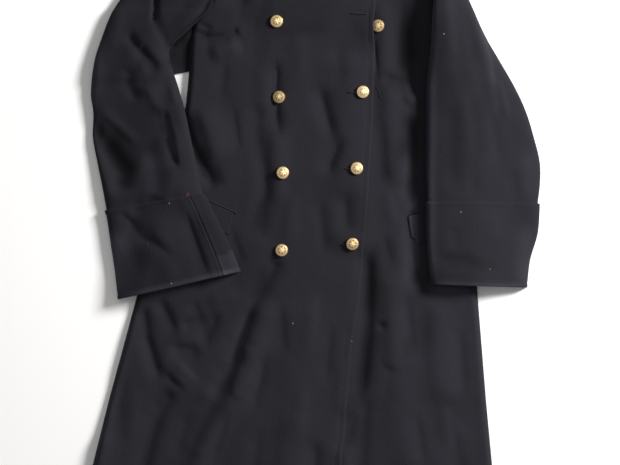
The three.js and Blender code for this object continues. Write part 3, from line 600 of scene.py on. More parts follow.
def back_grid():
    gy = np.linspace(TOP_Y, HEM_Y, BACK_CELLS[0] + 1)[:, None]
    shoulder = 1 - smooth((gy - TOP_Y - BACK_EASE[0]) / BACK_EASE[1])
    inset = (BACK_INSET + YOKE_INSET * shoulder) / STEP
    left, right = side_left(gy) + inset, side_right(gy) - inset
    gx = left + (right - left) * np.linspace(0, 1, BACK_CELLS[1] + 1)
    y = fanned(gx, gy + 0 * gx, 2)
    return np.stack([plan_x(gx), plan_y(y), 0 * gx], -1)


lying = back_grid()
BACK = cloth_piece("back_cloth", lying + (0, 0, CLOTH), lying + (0, 0, FLOOR_CLEAR))

# %% [markdown]
# ### Painted shade and light
#
# The cloth is painted darker or paler in long soft patches: painted shade in its hollows and beside the
# sleeves, where shade falls, and painted light in places that lie in shade, such as under the cuffs. A
# painted image could hold them, but a number at each point needs none, and the wool reads it as an
# attribute. A patch is a row like a fold's, with its share of change in place of a height: -0.3 is three
# tenths darker.

# %% Painted shade and light on the body
BODY_SHADE_AND_LIGHT = [  # x0, y0, x1, y1, left, right, share of change
    (200, 12, 340, 10, 20, 24, -0.2), (268, 32, 330, 28, 7, 7, -0.2), (196, 38, 232, 35, 7, 7, -0.25),
    (400, -12, 405, 52, 12, 14, -0.5), (405, 52, 393, 92, 10, 12, -0.4), (409, 112, 408, 160, 9, 9, -0.55),
    (383, 108, 387, 168, 5, 5, 0.3), (414, 204, 415, 274, 4, 6, 1.5), (354, 185, 360, 236, 10, 10, -0.3),
    (378, 238, 370, 312, 8, 8, -0.3), (366, 330, 357, 408, 8, 8, -0.25), (128, 306, 100, 470, 10, 14, 0.5),
    (430, 288, 474, 291, 5, 6, 1.7), (142, 292, 200, 283, 4, 6, 1.3), (202, 282, 232, 274, 4, 6, 0.6),
    (436, 300, 446, 465, 34, 34, 0.1), (371, 255, 366, 384, 6, 6, -0.3), (284, 62, 286, 100, 6, 6, -0.2),
    (195, 146, 206, 180, 4, 4, -0.3), (214, 164, 224, 184, 5, 5, -0.45), (399, 140, 397, 175, 7, 7, -0.2),
    (266, 262, 256, 300, 8, 8, -0.4), (247, 318, 230, 388, 6, 6, 0.7), (282, 108, 284, 134, 6, 6, -0.25),
    (265, 196, 252, 236, 6, 6, -0.3), (266, 130, 270, 172, 5, 5, 0.3), (192, 116, 202, 155, 5, 5, 0.35),
    (228, 60, 238, 160, 12, 12, -0.1), (384, 275, 384, 400, 5, 5, 0.3), (390, 400, 396, 465, 8, 8, 0.25),
    (262, 325, 270, 465, 16, 18, 0.12), (432, 340, 432, 400, 7, 7, 0.25), (460, 420, 462, 465, 8, 8, 0.2),
    (165, 310, 176, 345, 9, 9, -0.2), (407, 335, 408, 358, 6, 6, -0.25), (160, 392, 160, 408, 6, 6, -0.3),
]
# the most that the painted shade may darken and the painted light may brighten
DARKEST_PAINTED_SHADE, PALEST_PAINTED_LIGHT = -0.85, 2.0


def plan_places(piece):
    points = np.empty(len(piece.data.vertices) * 3, np.float32)
    piece.data.vertices.foreach_get("co", points)
    return to_plan(points[0::3].astype(float), points[1::3].astype(float))


def mark(mesh, label, values):
    mesh.attributes.new(label, "FLOAT", "POINT").data.foreach_set("value", values.astype(np.float32))


def mark_painted_shade_and_light(piece, patches, base=0.0):
    """Sets a point attribute to the share by which the cloth is painted paler or darker there, as painted
    shade and light.
    """
    gx, gy = plan_places(piece)
    mark(piece.data, "painted_shade_and_light", np.clip(base + strokes(patches, gx, gy), DARKEST_PAINTED_SHADE, PALEST_PAINTED_LIGHT))


for piece in (FRONT_RIGHT, FRONT_LEFT):
    mark_painted_shade_and_light(piece, BODY_SHADE_AND_LIGHT)
print("patches of nap on the body:", len(BODY_SHADE_AND_LIGHT))

# %% [markdown]
# ## The sleeves
#
# A coat sleeve is an upper and an under piece sewn into a bent tube, and its cuff is turned back over it.
# It could be a pipe swept along a line, but an empty sleeve lies flattened: the upper piece bows up and
# rolls down at both edges, and the under piece is flat. So each layer is a grid worked out across the
# sleeve. Where it crosses the coat's side it drops to the ground. The right cuff is slit.

# %% Plans of the sleeves
RIGHT_ARM = np.array([  # outer x, outer y, inner x, inner y
    (193, -79, 201, -77), (166, -60, 203, -56), (145, -38, 213, -28), (130, -14, 214.5, -2),
    (112.5, 12, 205, 15), (102, 38, 172, 46), (94.5, 62, 171.5, 64), (91, 92, 179, 89),
    (93.5, 114, 185.5, 112), (93, 137, 190, 134), (97, 161, 195, 156), (101, 186, 200, 176),
    (105, 211, 205, 194), (107, 218, 209, 201), (111, 245, 222, 228), (115, 272, 233, 252),
    (118, 299, 241, 271)], float)
LEFT_ARM = np.array([
    (452, -79, 445, -77), (463, -62, 440, -58), (467, -38, 435, -34), (466, -10, 434, -8),
    (475, 14, 432, 14), (486, 38, 431, 38), (500, 62, 429, 62), (515, 88, 426, 88),
    (526, 112, 426, 112), (534, 138, 426, 138), (540, 163, 425.5, 163), (541, 185, 425, 183),
    (539.5, 204, 425, 202), (539.5, 211, 425.5, 210), (537.5, 234, 426, 234), (530, 260, 428, 259),
    (527, 287, 431, 284)], float)
CUFF_ROW = 12  # the station, counted from the shoulder, where the cuff starts
print("stations of each sleeve:", len(RIGHT_ARM), "and", len(LEFT_ARM))

# %% Folds of the sleeves
RIGHT_ARM_FOLDS = [  # x0, y0, x1, y1, left, right, height in mm
    (128, 34, 142, 53, 4, 6, -6), (142, 53, 158, 71, 6, 7, -9), (131, 70, 129, 84, 6, 7, -4.6),
    (129, 84, 137, 101, 6, 6, -4.2), (144, 62, 144, 72, 4, 5, 3), (156, -20, 154, 20, 3.5, 1.6, -9),
    (154, 20, 167, 48, 4, 1.6, -6), (88, 122, 106, 148, 9, 8, -8), (106, 148, 118, 172, 14, 10, -12),
    (118, 172, 120, 192, 12, 10, -9), (103, 112, 138, 144, 5, 4, 3), (165, 112, 171, 141, 3, 7, -5),
    (171, 141, 177, 167, 2.5, 8, -7), (121, 214, 138, 227, 4, 7, -4), (138, 227, 173, 257, 4, 7, -4.6),
    (186, 212, 209, 276, 3, 10, -4.6), (158, 216, 172, 284, 10, 12, 4), (100, 60, 97, 98, 6, 6, 2.5),
    (146, 86, 160, 112, 6, 5, 2.5), (155, 108, 162, 136, 5, 7, -3.5), (176, 128, 188, 170, 4, 5, 2.5),
    (105, 176, 112, 204, 8, 9, 3), (120, 12, 112, 50, 6, 8, 2.5), (124, 236, 130, 284, 9, 9, 2.5),
    (146, 198, 168, 204, 4, 6, -2.5), (172, 82, 176, 104, 3, 5, 3),
]
LEFT_ARM_FOLDS = [
    (446, -6, 451, 60, 7, 7, 2.5), (464, 10, 472, 70, 7, 6, -2.5), (474, 6, 479, 30, 2.5, 8, 3),
    (479, 30, 488, 60, 2.5, 8, 3.5), (488, 60, 491, 90, 3.5, 8, 3), (497, 78, 507, 118, 3, 6, 2.5),
    (484, 90, 498, 160, 7, 7, -2.5), (448, 110, 452, 190, 10, 10, -2.5), (436, 258, 478, 262, 5, 8, -3),
    (462, 96, 470, 150, 6, 8, 1.6), (506, 60, 522, 120, 5, 7, -1.6), (470, 160, 474, 196, 6, 8, -1.6),
    (512, 172, 514, 200, 6, 8, -1.6), (490, 216, 496, 244, 6, 9, 1.4), (452, 226, 456, 250, 6, 8, -1.4),
]
print("folds of the sleeves:", len(RIGHT_ARM_FOLDS), "and", len(LEFT_ARM_FOLDS))

# %% What a sleeve lies on
SLEEVE_LIFT = 0.0180  # the top of the body under it
DRAPE_RIGHT, DRAPE_LEFT = 0.0600, 0.1000  # length of its drop from the body to the ground
DRAPE_INSIDE = 0.0120  # how far inside the body's side the drop starts


def support_height(x, y):
    """The height of what a sleeve lies on: the body, or the ground beside it."""
    gx, gy = to_plan(x, y)
    right, left = (gx - side_left(gy)) * STEP, (side_right(gy) - gx) * STEP
    drape = np.where(right < left, DRAPE_RIGHT, DRAPE_LEFT)
    return SLEEVE_LIFT * smooth((np.minimum(right, left) + drape - DRAPE_INSIDE) / drape)


def stations(plan, places):
    """A smooth curve through a plan's rows, read at places between them."""
    k = np.minimum(len(plan) - 2, np.floor(places).astype(int))
    t = (places - k)[:, None]
    p = [plan[np.clip(k + o, 0, len(plan) - 1)] for o in (-1, 0, 1, 2)]
    return p[1] + 0.5 * t * (p[2] - p[0] + t * (2 * p[0] - 5 * p[1] + 4 * p[2] - p[3]
                                               + t * (3 * p[1] - p[0] - 3 * p[2] + p[3])))


# %% Lines across a sleeve
ROWS_PER_STATION = 9
HEM_SHOW = 0.0032  # the cuff's hem stands this much past the sleeve's
CUFF_EASE = 2.5  # stations above the cuff over which a sleeve narrows to fit inside it


def arm(plan):
    """Each line's place in stations, its two ends, its half width, and how far it is inside the cuff."""
    last = len(plan) - 1
    hem = math.hypot(*(plan[last, :2] - plan[last - 1, :2])) * STEP
    places = np.linspace(0, last, last * ROWS_PER_STATION + 1)
    places = np.concatenate([places[:-1], [last - HEM_SHOW / hem, last]])
    edges = stations(plan, places)
    a = np.stack([plan_x(edges[:, 0]), plan_y(edges[:, 1])], -1)[:, None]
    b = np.stack([plan_x(edges[:, 2]), plan_y(edges[:, 3])], -1)[:, None]
    half = np.linalg.norm(a - b, axis=2) / 2
    cuffed = smooth((places - CUFF_ROW + CUFF_EASE) / CUFF_EASE)[:, None]
    return places, a, b, half, cuffed


# %% The upper layer
SLEEVE_CREST, CREST_SHARE = 0.0250, 0.62  # its height, at most this share of its half width
SECTION_POWER, EDGE_POWER = 0.5, 0.9  # how round the section is, and how its points gather at the edges
HEAD, HEAD_RISE = (1, 8.5), 0.0150  # the left sleeve's head stands higher between these stations
PRESSED, PRESSED_POWER = (5, 3), 0.2  # its inner edge stands steeper above the first, easing over so many
UNDERARM = (4.5, 6)  # stations where the right under sleeve runs out to the side of the body
STEP_OVER = (3, 4)  # how early and how fast the upper layer rises to clear it
SKEW = {"right": 0.0055, "left": 0.0005}  # each crown leans this much toward the inner edge
LEAN_LESS, LEAN_FROM, LEAN_OVER = 0.7, 8, 4  # the lean is less by this share, from one station over so many
ARM_WEAR = (0.0009, 11)  # slow unevenness: height, and length in plan steps
CREASE_REACH = 1.5  # the higher, the nearer to the edges the creases reach their full height


def arm_top(parts, folds, across, underarm):
    """The bowed layer above, with its creases, leaning a little toward its inner edge."""
    places, a, b, half, cuffed = parts
    lift = LAYER * cuffed + SEAM
    crest = np.minimum(SLEEVE_CREST, half * CREST_SHARE) - 2 * LAYER * cuffed
    if underarm:
        inside = np.minimum(places - UNDERARM[0], UNDERARM[1] - places)[:, None]
        lift = lift + LAYER * smooth(STEP_OVER[0] + STEP_OVER[1] * inside)
    else:
        share = np.clip((places - HEAD[0]) / (HEAD[1] - HEAD[0]), 0, 1)[:, None]
        crest = crest + HEAD_RISE * np.sin(math.pi * share) ** 2
    turn = math.pi * across[None, :]
    side = -np.sign(np.cos(turn)) * np.abs(np.cos(turn)) ** EDGE_POWER
    reach = (half - LAYER * cuffed) / half * side
    xy = a + (b - a) * (0.5 + reach / 2)[..., None]
    bow = np.abs(np.sin(turn))
    gx, gy = to_plan(xy[..., 0], xy[..., 1])
    crease = fold_height(folds, gx, gy) + ARM_WEAR[0] * unevenness(gx, gy, ARM_WEAR[1])
    lean = SKEW["right" if underarm else "left"] * np.sin(math.pi * (1 + reach))
    lean = lean * (1 - LEAN_LESS * smooth((places - LEAN_FROM) / LEAN_OVER))[:, None]
    steep = 0 * places if underarm else 1 - smooth((places - PRESSED[0]) / PRESSED[1])
    power = SECTION_POWER - PRESSED_POWER * steep[:, None] * (across > 0.5)
    rise = crest * bow**power - lean + crease * smooth(bow * CREASE_REACH)
    least = np.minimum(crest, 2 * LAYER) * bow**SECTION_POWER
    z = support_height(xy[..., 0], xy[..., 1]) + lift + np.maximum(rise, least)
    return np.concatenate([xy, z[..., None]], -1)


# %% The under layer
UNDER_CELLS = 36
UNDER_CLEAR = 0.0026  # how far the under piece stays inside the upper one
LEAST_REACH = 0.2  # but it keeps at least this share of the width
UNDERARM_PAST, UNDERARM_RATE = (0.25, 0.36), 12  # how the run to the body's side starts and ends
UNDERARM_SHARE = 0.17  # the share of the width that takes part in it
BODY_TUCK = 0.8  # plan steps it goes in past the body's side


def arm_under(parts, lift, underarm=False):
    """The flat layer below. Under one arm it runs out to the body's side, so that no gap is left."""
    places, a, b, half, cuffed = parts
    reach = np.maximum(LEAST_REACH, 1 - (CLOTH + UNDER_CLEAR + LAYER * cuffed) / half)
    t = np.linspace(0, 1, UNDER_CELLS + 1)[None, :]
    xy = a + (b - a) * (0.5 + (t - 0.5) * reach)[..., None]
    z = support_height(xy[..., 0], xy[..., 1]) + lift * cuffed + FLOOR_CLEAR
    if underarm:
        early, late = UNDERARM_PAST
        inside = np.minimum(places - UNDERARM[0] + early, UNDERARM[1] + late - places)[:, None]
        inner = np.clip((t - (1 - UNDERARM_SHARE)) / UNDERARM_SHARE, 0, 1)
        share = smooth(0.5 + UNDERARM_RATE * inside) * inner
        _, gy = to_plan(xy[..., 0], xy[..., 1])
        short = np.maximum(0, plan_x(side_left(gy) + BODY_TUCK) - xy[:, -1:, 0])
        xy[..., 0] += share * short
        z = z * (1 - share) + FLOOR_CLEAR * share
    return np.concatenate([xy, z[..., None]], -1)


# %% Edges of a cuff
CUFF_LIP = (0.0004, 0.0030, 0.0025)  # along both hems: height, distance from the edge, width
CUFF_DIP = (-0.0007, 0.0085, 0.0016)  # along the row of stitches
SLIT_LIP = (0.0016, 0.0016, 0.0017)  # along the slit
FOOT_CELLS = 3  # cells from each edge of the cuff down to what it lies on


def edge_distance(grid, edges):
    """Distance along the cloth to the nearest of the named free edges of a grid."""
    nearest = np.full(grid.shape[:2], 1.0)
    for name in edges:
        axis = 0 if name in ("first", "last") else 1
        steps = np.linalg.norm(np.diff(grid, axis=axis), axis=2)
        if name in ("last", "right"):
            steps = np.flip(steps, axis)
        run = np.cumsum(steps, axis=axis)
        run = np.concatenate([np.zeros_like(np.take(run, [0], axis=axis)), run], axis)
        if name in ("last", "right"):
            run = np.flip(run, axis)
        nearest = np.minimum(nearest, run)
    return nearest


def cuff_finish(grid, slit_edge):
    """Turned and pressed edges: a fuller lip, with a faint dip along the row of stitches."""
    lip = ridge(edge_distance(grid, ["first", "last"]), *CUFF_LIP)
    lip = lip + ridge(edge_distance(grid, ["last"]), *CUFF_DIP)
    if slit_edge:
        lip = lip + ridge(edge_distance(grid, [slit_edge]), *SLIT_LIP)
    return lip[..., None]


def with_feet(grid):
    """Runs the cuff's section down past the sleeve edge to what it lies on."""
    def foot(line):
        ground = support_height(line[:, 0], line[:, 1]) + SEAM
        return np.stack([line[:, 0], line[:, 1], ground], -1)[:, None]
    first, last = foot(grid[:, 0]), foot(grid[:, -1])
    near = [first + (grid[:, :1] - first) * k / FOOT_CELLS for k in range(FOOT_CELLS)]
    far = [last + (grid[:, -1:] - last) * k / FOOT_CELLS for k in reversed(range(FOOT_CELLS))]
    return np.concatenate([*near, grid, *far], 1)


# %% Sleeves and cuffs
SLEEVE_CELLS = 72
SLIT = (0.742, 0.752)  # the right cuff is slit between these two places across it
SLIT_CLEAR = 0.009  # no other line of points comes nearer to the middle of the slit
HIDDEN_ROWS = 4  # rows past the first station where the under sleeve starts, out of sight


def cuffs(side, top, normals, across, slit):
    """The turned-back cuff, moved out from the sleeve's own section, in two pieces where it is slit."""
    inner = with_feet(top + normals * SEAM)
    outer = with_feet(top + normals * (SEAM + CLOTH))
    outward = with_feet(normals)
    outward[:, :FOOT_CELLS] = outward[:, FOOT_CELLS:FOOT_CELLS + 1]
    outward[:, -FOOT_CELLS:] = outward[:, -FOOT_CELLS - 1:-FOOT_CELLS]
    columns = outer.shape[1]
    spans = {"cuff": (0, columns, None)}
    if slit:
        cut = int(np.argmin(np.abs(across - SLIT[0]))) + FOOT_CELLS + 1
        spans = {"cuff": (0, cut, "right"), "cuff_lap": (cut, columns, "left")}
    made = {}
    for name, (a, b, slit_edge) in spans.items():
        piece = outer[:, a:b] + outward[:, a:b] * cuff_finish(outer[:, a:b], slit_edge)
        made[name] = cloth_piece(f"{name}_{side}_cloth", piece, inner[:, a:b])
    return made


def sleeve(side, plan, folds, slit):
    parts = arm(plan)
    across = np.linspace(0, 1, SLEEVE_CELLS + 1)
    if slit:
        kept = across[np.abs(across - np.mean(SLIT)) > SLIT_CLEAR]
        across = np.sort(np.concatenate([kept, SLIT]))
    top = arm_top(parts, folds, across, underarm=slit)
    normals = grid_normals(top)
    under = arm_under(parts, LAYER, underarm=slit)
    start, first, hem = ROWS_PER_STATION + HIDDEN_ROWS, CUFF_ROW * ROWS_PER_STATION, len(top) - 1
    made = {"top": cloth_piece(f"sleeve_top_{side}_cloth", top[:hem], (top - normals * CLOTH)[:hem])}
    made["under"] = cloth_piece(f"sleeve_under_{side}_cloth", (under + (0, 0, CLOTH))[start:hem],
                                under[start:hem])
    made.update(cuffs(side, top[first:], normals[first:], across, slit))
    low = arm_under(parts, 0)[first:]
    made["cuff_under"] = cloth_piece(f"cuff_under_{side}_cloth", low + (0, 0, CLOTH), low)
    return made


RIGHT = sleeve("right", RIGHT_ARM, RIGHT_ARM_FOLDS, True)
LEFT = sleeve("left", LEFT_ARM, LEFT_ARM_FOLDS, False)

# %% Painted shade and light on the sleeves
RIGHT_ARM_SHADE_AND_LIGHT = [  # x0, y0, x1, y1, left, right, share of change
    (98, 126, 112, 146, 8, 8, -0.35), (112, 146, 131, 168, 9, 8, -0.5), (131, 168, 130, 184, 8, 9, -0.4),
    (114, 232, 122, 296, 14, 10, 1.7), (136, 205, 142, 250, 9, 9, 0.7), (152, 204, 150, 240, 7, 7, 0.6),
    (120, 297, 238, 270, 2.5, 2.5, 0.9), (98, 30, 93, 108, 5, 5, 0.9), (186, 30, 182, 74, 9, 9, -0.45),
    (140, 58, 164, 76, 8, 8, -0.3), (215, -6, 205, 14, 2.5, 2.5, -0.8), (205, 14, 190, 30, 2.5, 2.5, -0.8),
    (190, 30, 172, 46, 2.5, 2.5, -0.8), (172, 46, 171, 66, 2, 2, -0.6), (151, 154, 153, 200, 8, 8, 1.8),
    (152, 106, 154, 132, 6, 6, -0.3), (163, 112, 175, 158, 5, 5, 0.8), (176, 108, 190, 170, 5, 5, -0.2),
    (134, 66, 137, 90, 5, 5, 0.35), (176, 190, 186, 220, 6, 6, -0.25), (198, 214, 206, 272, 7, 7, -0.3),
]
LEFT_ARM_SHADE_AND_LIGHT = [
    (431, -10, 430, 284, 5, 5, 1.3), (458, 0, 466, 90, 7, 7, -0.2), (477, 92, 482, 160, 9, 9, -0.2),
    (526, 226, 522, 288, 9, 9, 0.6), (432, 284, 525, 286, 2.5, 2.5, 0.6), (480, 20, 498, 118, 5, 4, 0.35),
    (440, 262, 500, 264, 6, 6, -0.15), (526, 150, 530, 200, 9, 9, 0.35), (455, 170, 455, 250, 14, 14, 0.12),
]
RIGHT_SHADE_BASE, LEFT_SHADE_BASE, LAP_SHADE_BASE = -0.12, -0.1, -0.30  # painted shade: the sleeves start a little darker than the body, and the lap darker still

for name, piece in RIGHT.items():
    mark_painted_shade_and_light(piece, RIGHT_ARM_SHADE_AND_LIGHT, LAP_SHADE_BASE if name == "cuff_lap" else RIGHT_SHADE_BASE)
for name, piece in LEFT.items():
    mark_painted_shade_and_light(piece, LEFT_ARM_SHADE_AND_LIGHT, LEFT_SHADE_BASE)
print("patches of nap on the sleeves:", len(RIGHT_ARM_SHADE_AND_LIGHT), "and", len(LEFT_ARM_SHADE_AND_LIGHT))

# %% The pale square at the slit
PALE_SQUARE = [(217, 256.5), (236, 250), (246, 274), (221, 286)]  # its corners on the plan
PALE_SOFT = 0.8  # plan steps over which its edge fades


def mark_pale(piece, corners):
    """Sets the point attribute "pale" to 1 inside four plan corners, given in turn."""
    gx, gy = plan_places(piece)
    corners = np.array(corners, float)
    nearest = np.full(len(gx), np.inf)
    for a, b in zip(corners, np.roll(corners, -1, axis=0)):
        way = (b - a) / np.hypot(*(b - a))
        nearest = np.minimum(nearest, way[0] * (gy - a[1]) - way[1] * (gx - a[0]))
    mark(piece.data, "pale", smooth(nearest / PALE_SOFT + 0.5))


mark_pale(RIGHT["cuff_lap"], PALE_SQUARE)
print("pale square marked on", RIGHT["cuff_lap"].name)

# %% [markdown]
# ## The pocket flaps
#
# A flap hangs over its pocket's mouth and goes on under the sleeve. It could be a stiff plate, but a flap
# takes the shape of what it lies on. So rays fall on the fronts at each of its points, and the flap
# rests where they land.

# %% Landing on cloth from above
def tree_of(*pieces):
    bm = bmesh.new()
    for piece in pieces:
        bm.from_mesh(piece.data)
    tree = BVHTree.FromBMesh(bm)
    bm.free()
    return tree


RAY_START = 0.5  # well above the coat


def land(tree, x, y):
    hit = tree.ray_cast(Vector((x, y, RAY_START)), Vector((0, 0, -1)))
    return (hit[0], hit[1]) if hit[0] is not None else (Vector((x, y, 0)), Vector((0, 0, 1)))


def highest(tree, x, y, reach):
    """The highest cloth at a place and at four places round it."""
    places = ((0, 0), (reach, 0), (-reach, 0), (0, reach), (0, -reach))
    return max(land(tree, x + dx, y + dy)[0].z for dx, dy in places)


right_tree, left_tree = tree_of(FRONT_RIGHT), tree_of(FRONT_LEFT)
fronts_tree = tree_of(FRONT_RIGHT, FRONT_LEFT)

# %% Flaps
FLAPS = {  # corners on the plan, the seam's end that shows first
    "left": [(408.5, 216.5), (462, 202), (466, 231), (413, 245)],
    "right": [(233, 213), (184, 191), (178, 219), (227, 241)],
}
FLAP_CELLS, FLAP_WALL, FLAP_REACH, FLAP_EASED = (44, 22), 0.0020, 0.004, 1.01
CORNER, CORNER_ALONG, CORNER_DOWN = 0.6, 0.12, 0.3  # how much its corner is rounded, and over what shares


def pocket_flap(side, corners):
    a, b, c, d = [np.array([plan_x(gx), plan_y(gy)]) for gx, gy in corners]
    rows = []
    for v in np.linspace(0, 1, FLAP_CELLS[1] + 1):
        line = []
        for u in np.linspace(0, 1, FLAP_CELLS[0] + 1):
            low = max(0.0, (v - (1 - CORNER_DOWN)) / CORNER_DOWN)
            cut = CORNER * max(0.0, (CORNER_ALONG - u) / CORNER_ALONG) ** 2 * low**2
            x, y = (a * (1 - u) + b * u) * (1 - v + cut) + (d * (1 - u) + c * u) * (v - cut)
            line.append((x, y, highest(fronts_tree, x, y, FLAP_REACH) + SEAM))
        rows.append(line)
    grid = np.array(rows)
    name = f"pocket_flap_{side}_cloth"
    piece = shell(name, grid + (0, 0, FLAP_WALL), grid)
    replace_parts(piece, f"pocket_flap_{side}")
    ON_CLOTH[name] = []
    # painted shade and light on the flap, from the body's patches
    mark_painted_shade_and_light(piece, BODY_SHADE_AND_LIGHT)
    return piece


MADE_FLAPS = {side: pocket_flap(side, corners) for side, corners in FLAPS.items()}

# %% [markdown]
# ## The collar
#
# A stand rises from the neckline and the fall turns over it, narrower behind the neck than in front. It
# could be folded from a flat strip, but its seam is a closed curve on uneven cloth. So it is a grid round
# the neck: every line of it starts at the seam, lands on the body, and is lifted by the collar's section.

# %% Collar
NECK = {"x": 328, "y": -106, "across": 45, "deep": 21}  # plan place and half sizes of the neck's oval
COLLAR_OPEN = 9  # degrees left open on each side of the front
COLLAR_LINES, COLLAR_STAND, COLLAR_CLEAR, COLLAR_REACH = 141, 0.017, 0.0010, 0.012
FALL_BEHIND, FALL_WIDER, FALL_POWER = 0.044, 0.038, 1.5  # width behind the neck, and what the front adds
POINT_LENGTH, POINT_TURN = 0.010, 30  # the points are longer, over so many degrees
NECK_GAP = 0.003  # from the neck's oval to the collar's seam
COLLAR_SECTION = np.array([(0, 0), (0.03, 0.62), (0.1, 1), (0.4, 0.82), (0.72, 0.36), (1, 0)])  # out, lift
SOFTEN_ROUNDS, SOFTEN_DROP = 12, 0.0002  # rounds of evening out, and how far a point may sink in one


def softened(grid):
    """Evens the heights out, and lets no point sink by more than a hair in one round."""
    for _ in range(SOFTEN_ROUNDS):
        z = grid[..., 2]
        soft = z.copy()
        soft[1:-1] = (z[:-2] + 2 * z[1:-1] + z[2:]) / 4
        soft[:, 1:-1] = (soft[:, :-2] + 2 * soft[:, 1:-1] + soft[:, 2:]) / 4
        grid[..., 2] = np.maximum(soft, z - SOFTEN_DROP)
    return grid


def collar():
    tree = tree_of(FRONT_RIGHT, FRONT_LEFT, BACK)
    outs = np.concatenate([np.linspace(0, 0.1, 7)[:-1], np.linspace(0.1, 1, 22)])
    lifts = np.interp(outs, COLLAR_SECTION[:, 0], COLLAR_SECTION[:, 1])
    lifts = np.convolve(np.pad(lifts, 1, "edge"), [0.25, 0.5, 0.25], "valid")
    rows = []
    for turn in np.linspace(COLLAR_OPEN, 360 - COLLAR_OPEN, COLLAR_LINES):
        angle = math.radians(turn)
        way = np.array([-math.sin(angle), -math.cos(angle)])
        root = np.array([plan_x(NECK["x"]) + NECK["across"] * STEP * way[0],
                         plan_y(NECK["y"]) + NECK["deep"] * STEP * way[1]])
        fore = (1 + math.cos(angle)) / 2
        fall = FALL_BEHIND + FALL_WIDER * fore**FALL_POWER
        point = max(0.0, 1 - min(turn, 360 - turn) / POINT_TURN) * POINT_LENGTH
        line = []
        for out, lift in zip(outs, lifts):
            x, y = root + way * (out * (fall + point) + NECK_GAP)
            ground = highest(tree, x, y, COLLAR_REACH)
            line.append((x, y, ground + COLLAR_CLEAR + lift * COLLAR_STAND))
        rows.append(line)
    grid = softened(np.array(rows))
    outer = grid + grid_normals(grid) * CLOTH
    return cloth_piece("collar_cloth", outer, grid)


collar()

# %% [markdown]
# ## The buttons
#
# Each button is a domed disc with a raised rim, a roped border and a plain six-petalled rosette inside
# berries. A stamped design could be sculpted, but it repeats round the face, so it is a height field over
# the dome, worked out from a few waves. The depth of its hollows is kept at each point and darkens
# the gilt there, as polish leaves it, and the rim all round is painted darker as well, as painted shade.

# %% Gilt
GILT_TONES = [(0.20, (1.0, 0.80, 0.47)), (0.52, (0.74, 0.53, 0.26)), (0.92, (0.10, 0.06, 0.03))]


def ramp(tree, value, stops):
    node = tree.nodes.new("ShaderNodeValToRGB")
    tree.links.new(value, node.inputs[0])
    while len(node.color_ramp.elements) < len(stops):
        node.color_ramp.elements.new(0.5)
    for element, (place, colour) in zip(node.color_ramp.elements, stops):
        element.position = place
        element.color = (*colour, 1)
    return node.outputs[0]


def gilt():
    material, tree, shader, place = new_material("Gilt")
    # the gilt darkens with noise and a point attribute: patina in the face's hollows, painted shade on the
    # rim
    tarnish_and_shade = math_node(tree, "MULTIPLY_ADD", noise(tree, 300, 3, 0.6, place), 0.35, attribute(tree, "patina_and_shade"))
    tree.links.new(ramp(tree, tarnish_and_shade, GILT_TONES), shader.inputs["Base Color"])
    tree.links.new(math_node(tree, "MULTIPLY_ADD", tarnish_and_shade, 0.30, 0.26), shader.inputs["Roughness"])
    bump = tree.nodes.new("ShaderNodeBump")
    bump.inputs["Distance"].default_value = 0.00012
    tree.links.new(noise(tree, 1400, 2, 0.5, place), bump.inputs["Height"])
    tree.links.new(bump.outputs["Normal"], shader.inputs["Normal"])
    shader.inputs["Metallic"].default_value = 0.50
    return material


GILT = gilt()
print("material made:", GILT.name)

# %% Button relief
BUTTON_RADIUS, BUTTON_HEIGHT, CAUGHT_HEIGHT = 0.0115, 0.0062, 0.0050
FACE_RINGS, BUTTON_SIDES, FACE_EDGE = 40, 96, 0.9
DOME_START, DOME_RISE, RELIEF = 0.60, 0.34, 0.00042  # shares of the height, and the design's height
BUTTON_RIM = np.array([  # radius and height, as shares of the button's
    (0.93, 0.64), (0.965, 0.67), (0.99, 0.64), (1.0, 0.56), (1.0, 0.34), (0.985, 0.2), (0.95, 0.1),
    (0.72, 0.0)])
HOLLOW_FACE, RIM_PAINTED_SHADE, HOLLOW_GROOVE = 0.62, 0.75, 0.8  # how dark the gilt is painted: patina in the face's hollows and groove, painted shade on the rim
HOLLOW_CENTRE, HOLLOW_UNDER = 0.2, 0.5


def relief(radius, turn):
    """Raised design at a place on the face: 0 in the ground, 1 on the highest parts."""
    petal = 0.50 + 0.13 * np.cos(6 * turn)
    foil = smooth((petal - radius) / 0.08) * (0.55 + 0.35 * np.cos(6 * turn + 5 * radius))
    boss = smooth((0.19 - radius) / 0.06)
    berries = smooth((0.085 - np.hypot(radius - 0.70, 0.70 * np.sin(9 * turn) / 9)) / 0.05)
    rope = smooth((0.045 - np.abs(radius - 0.86)) / 0.03) * (0.75 + 0.25 * np.cos(40 * turn + 30 * radius))
    return np.clip(foil + boss * 0.5 + berries * 0.8 + rope * 0.8, 0, 1)


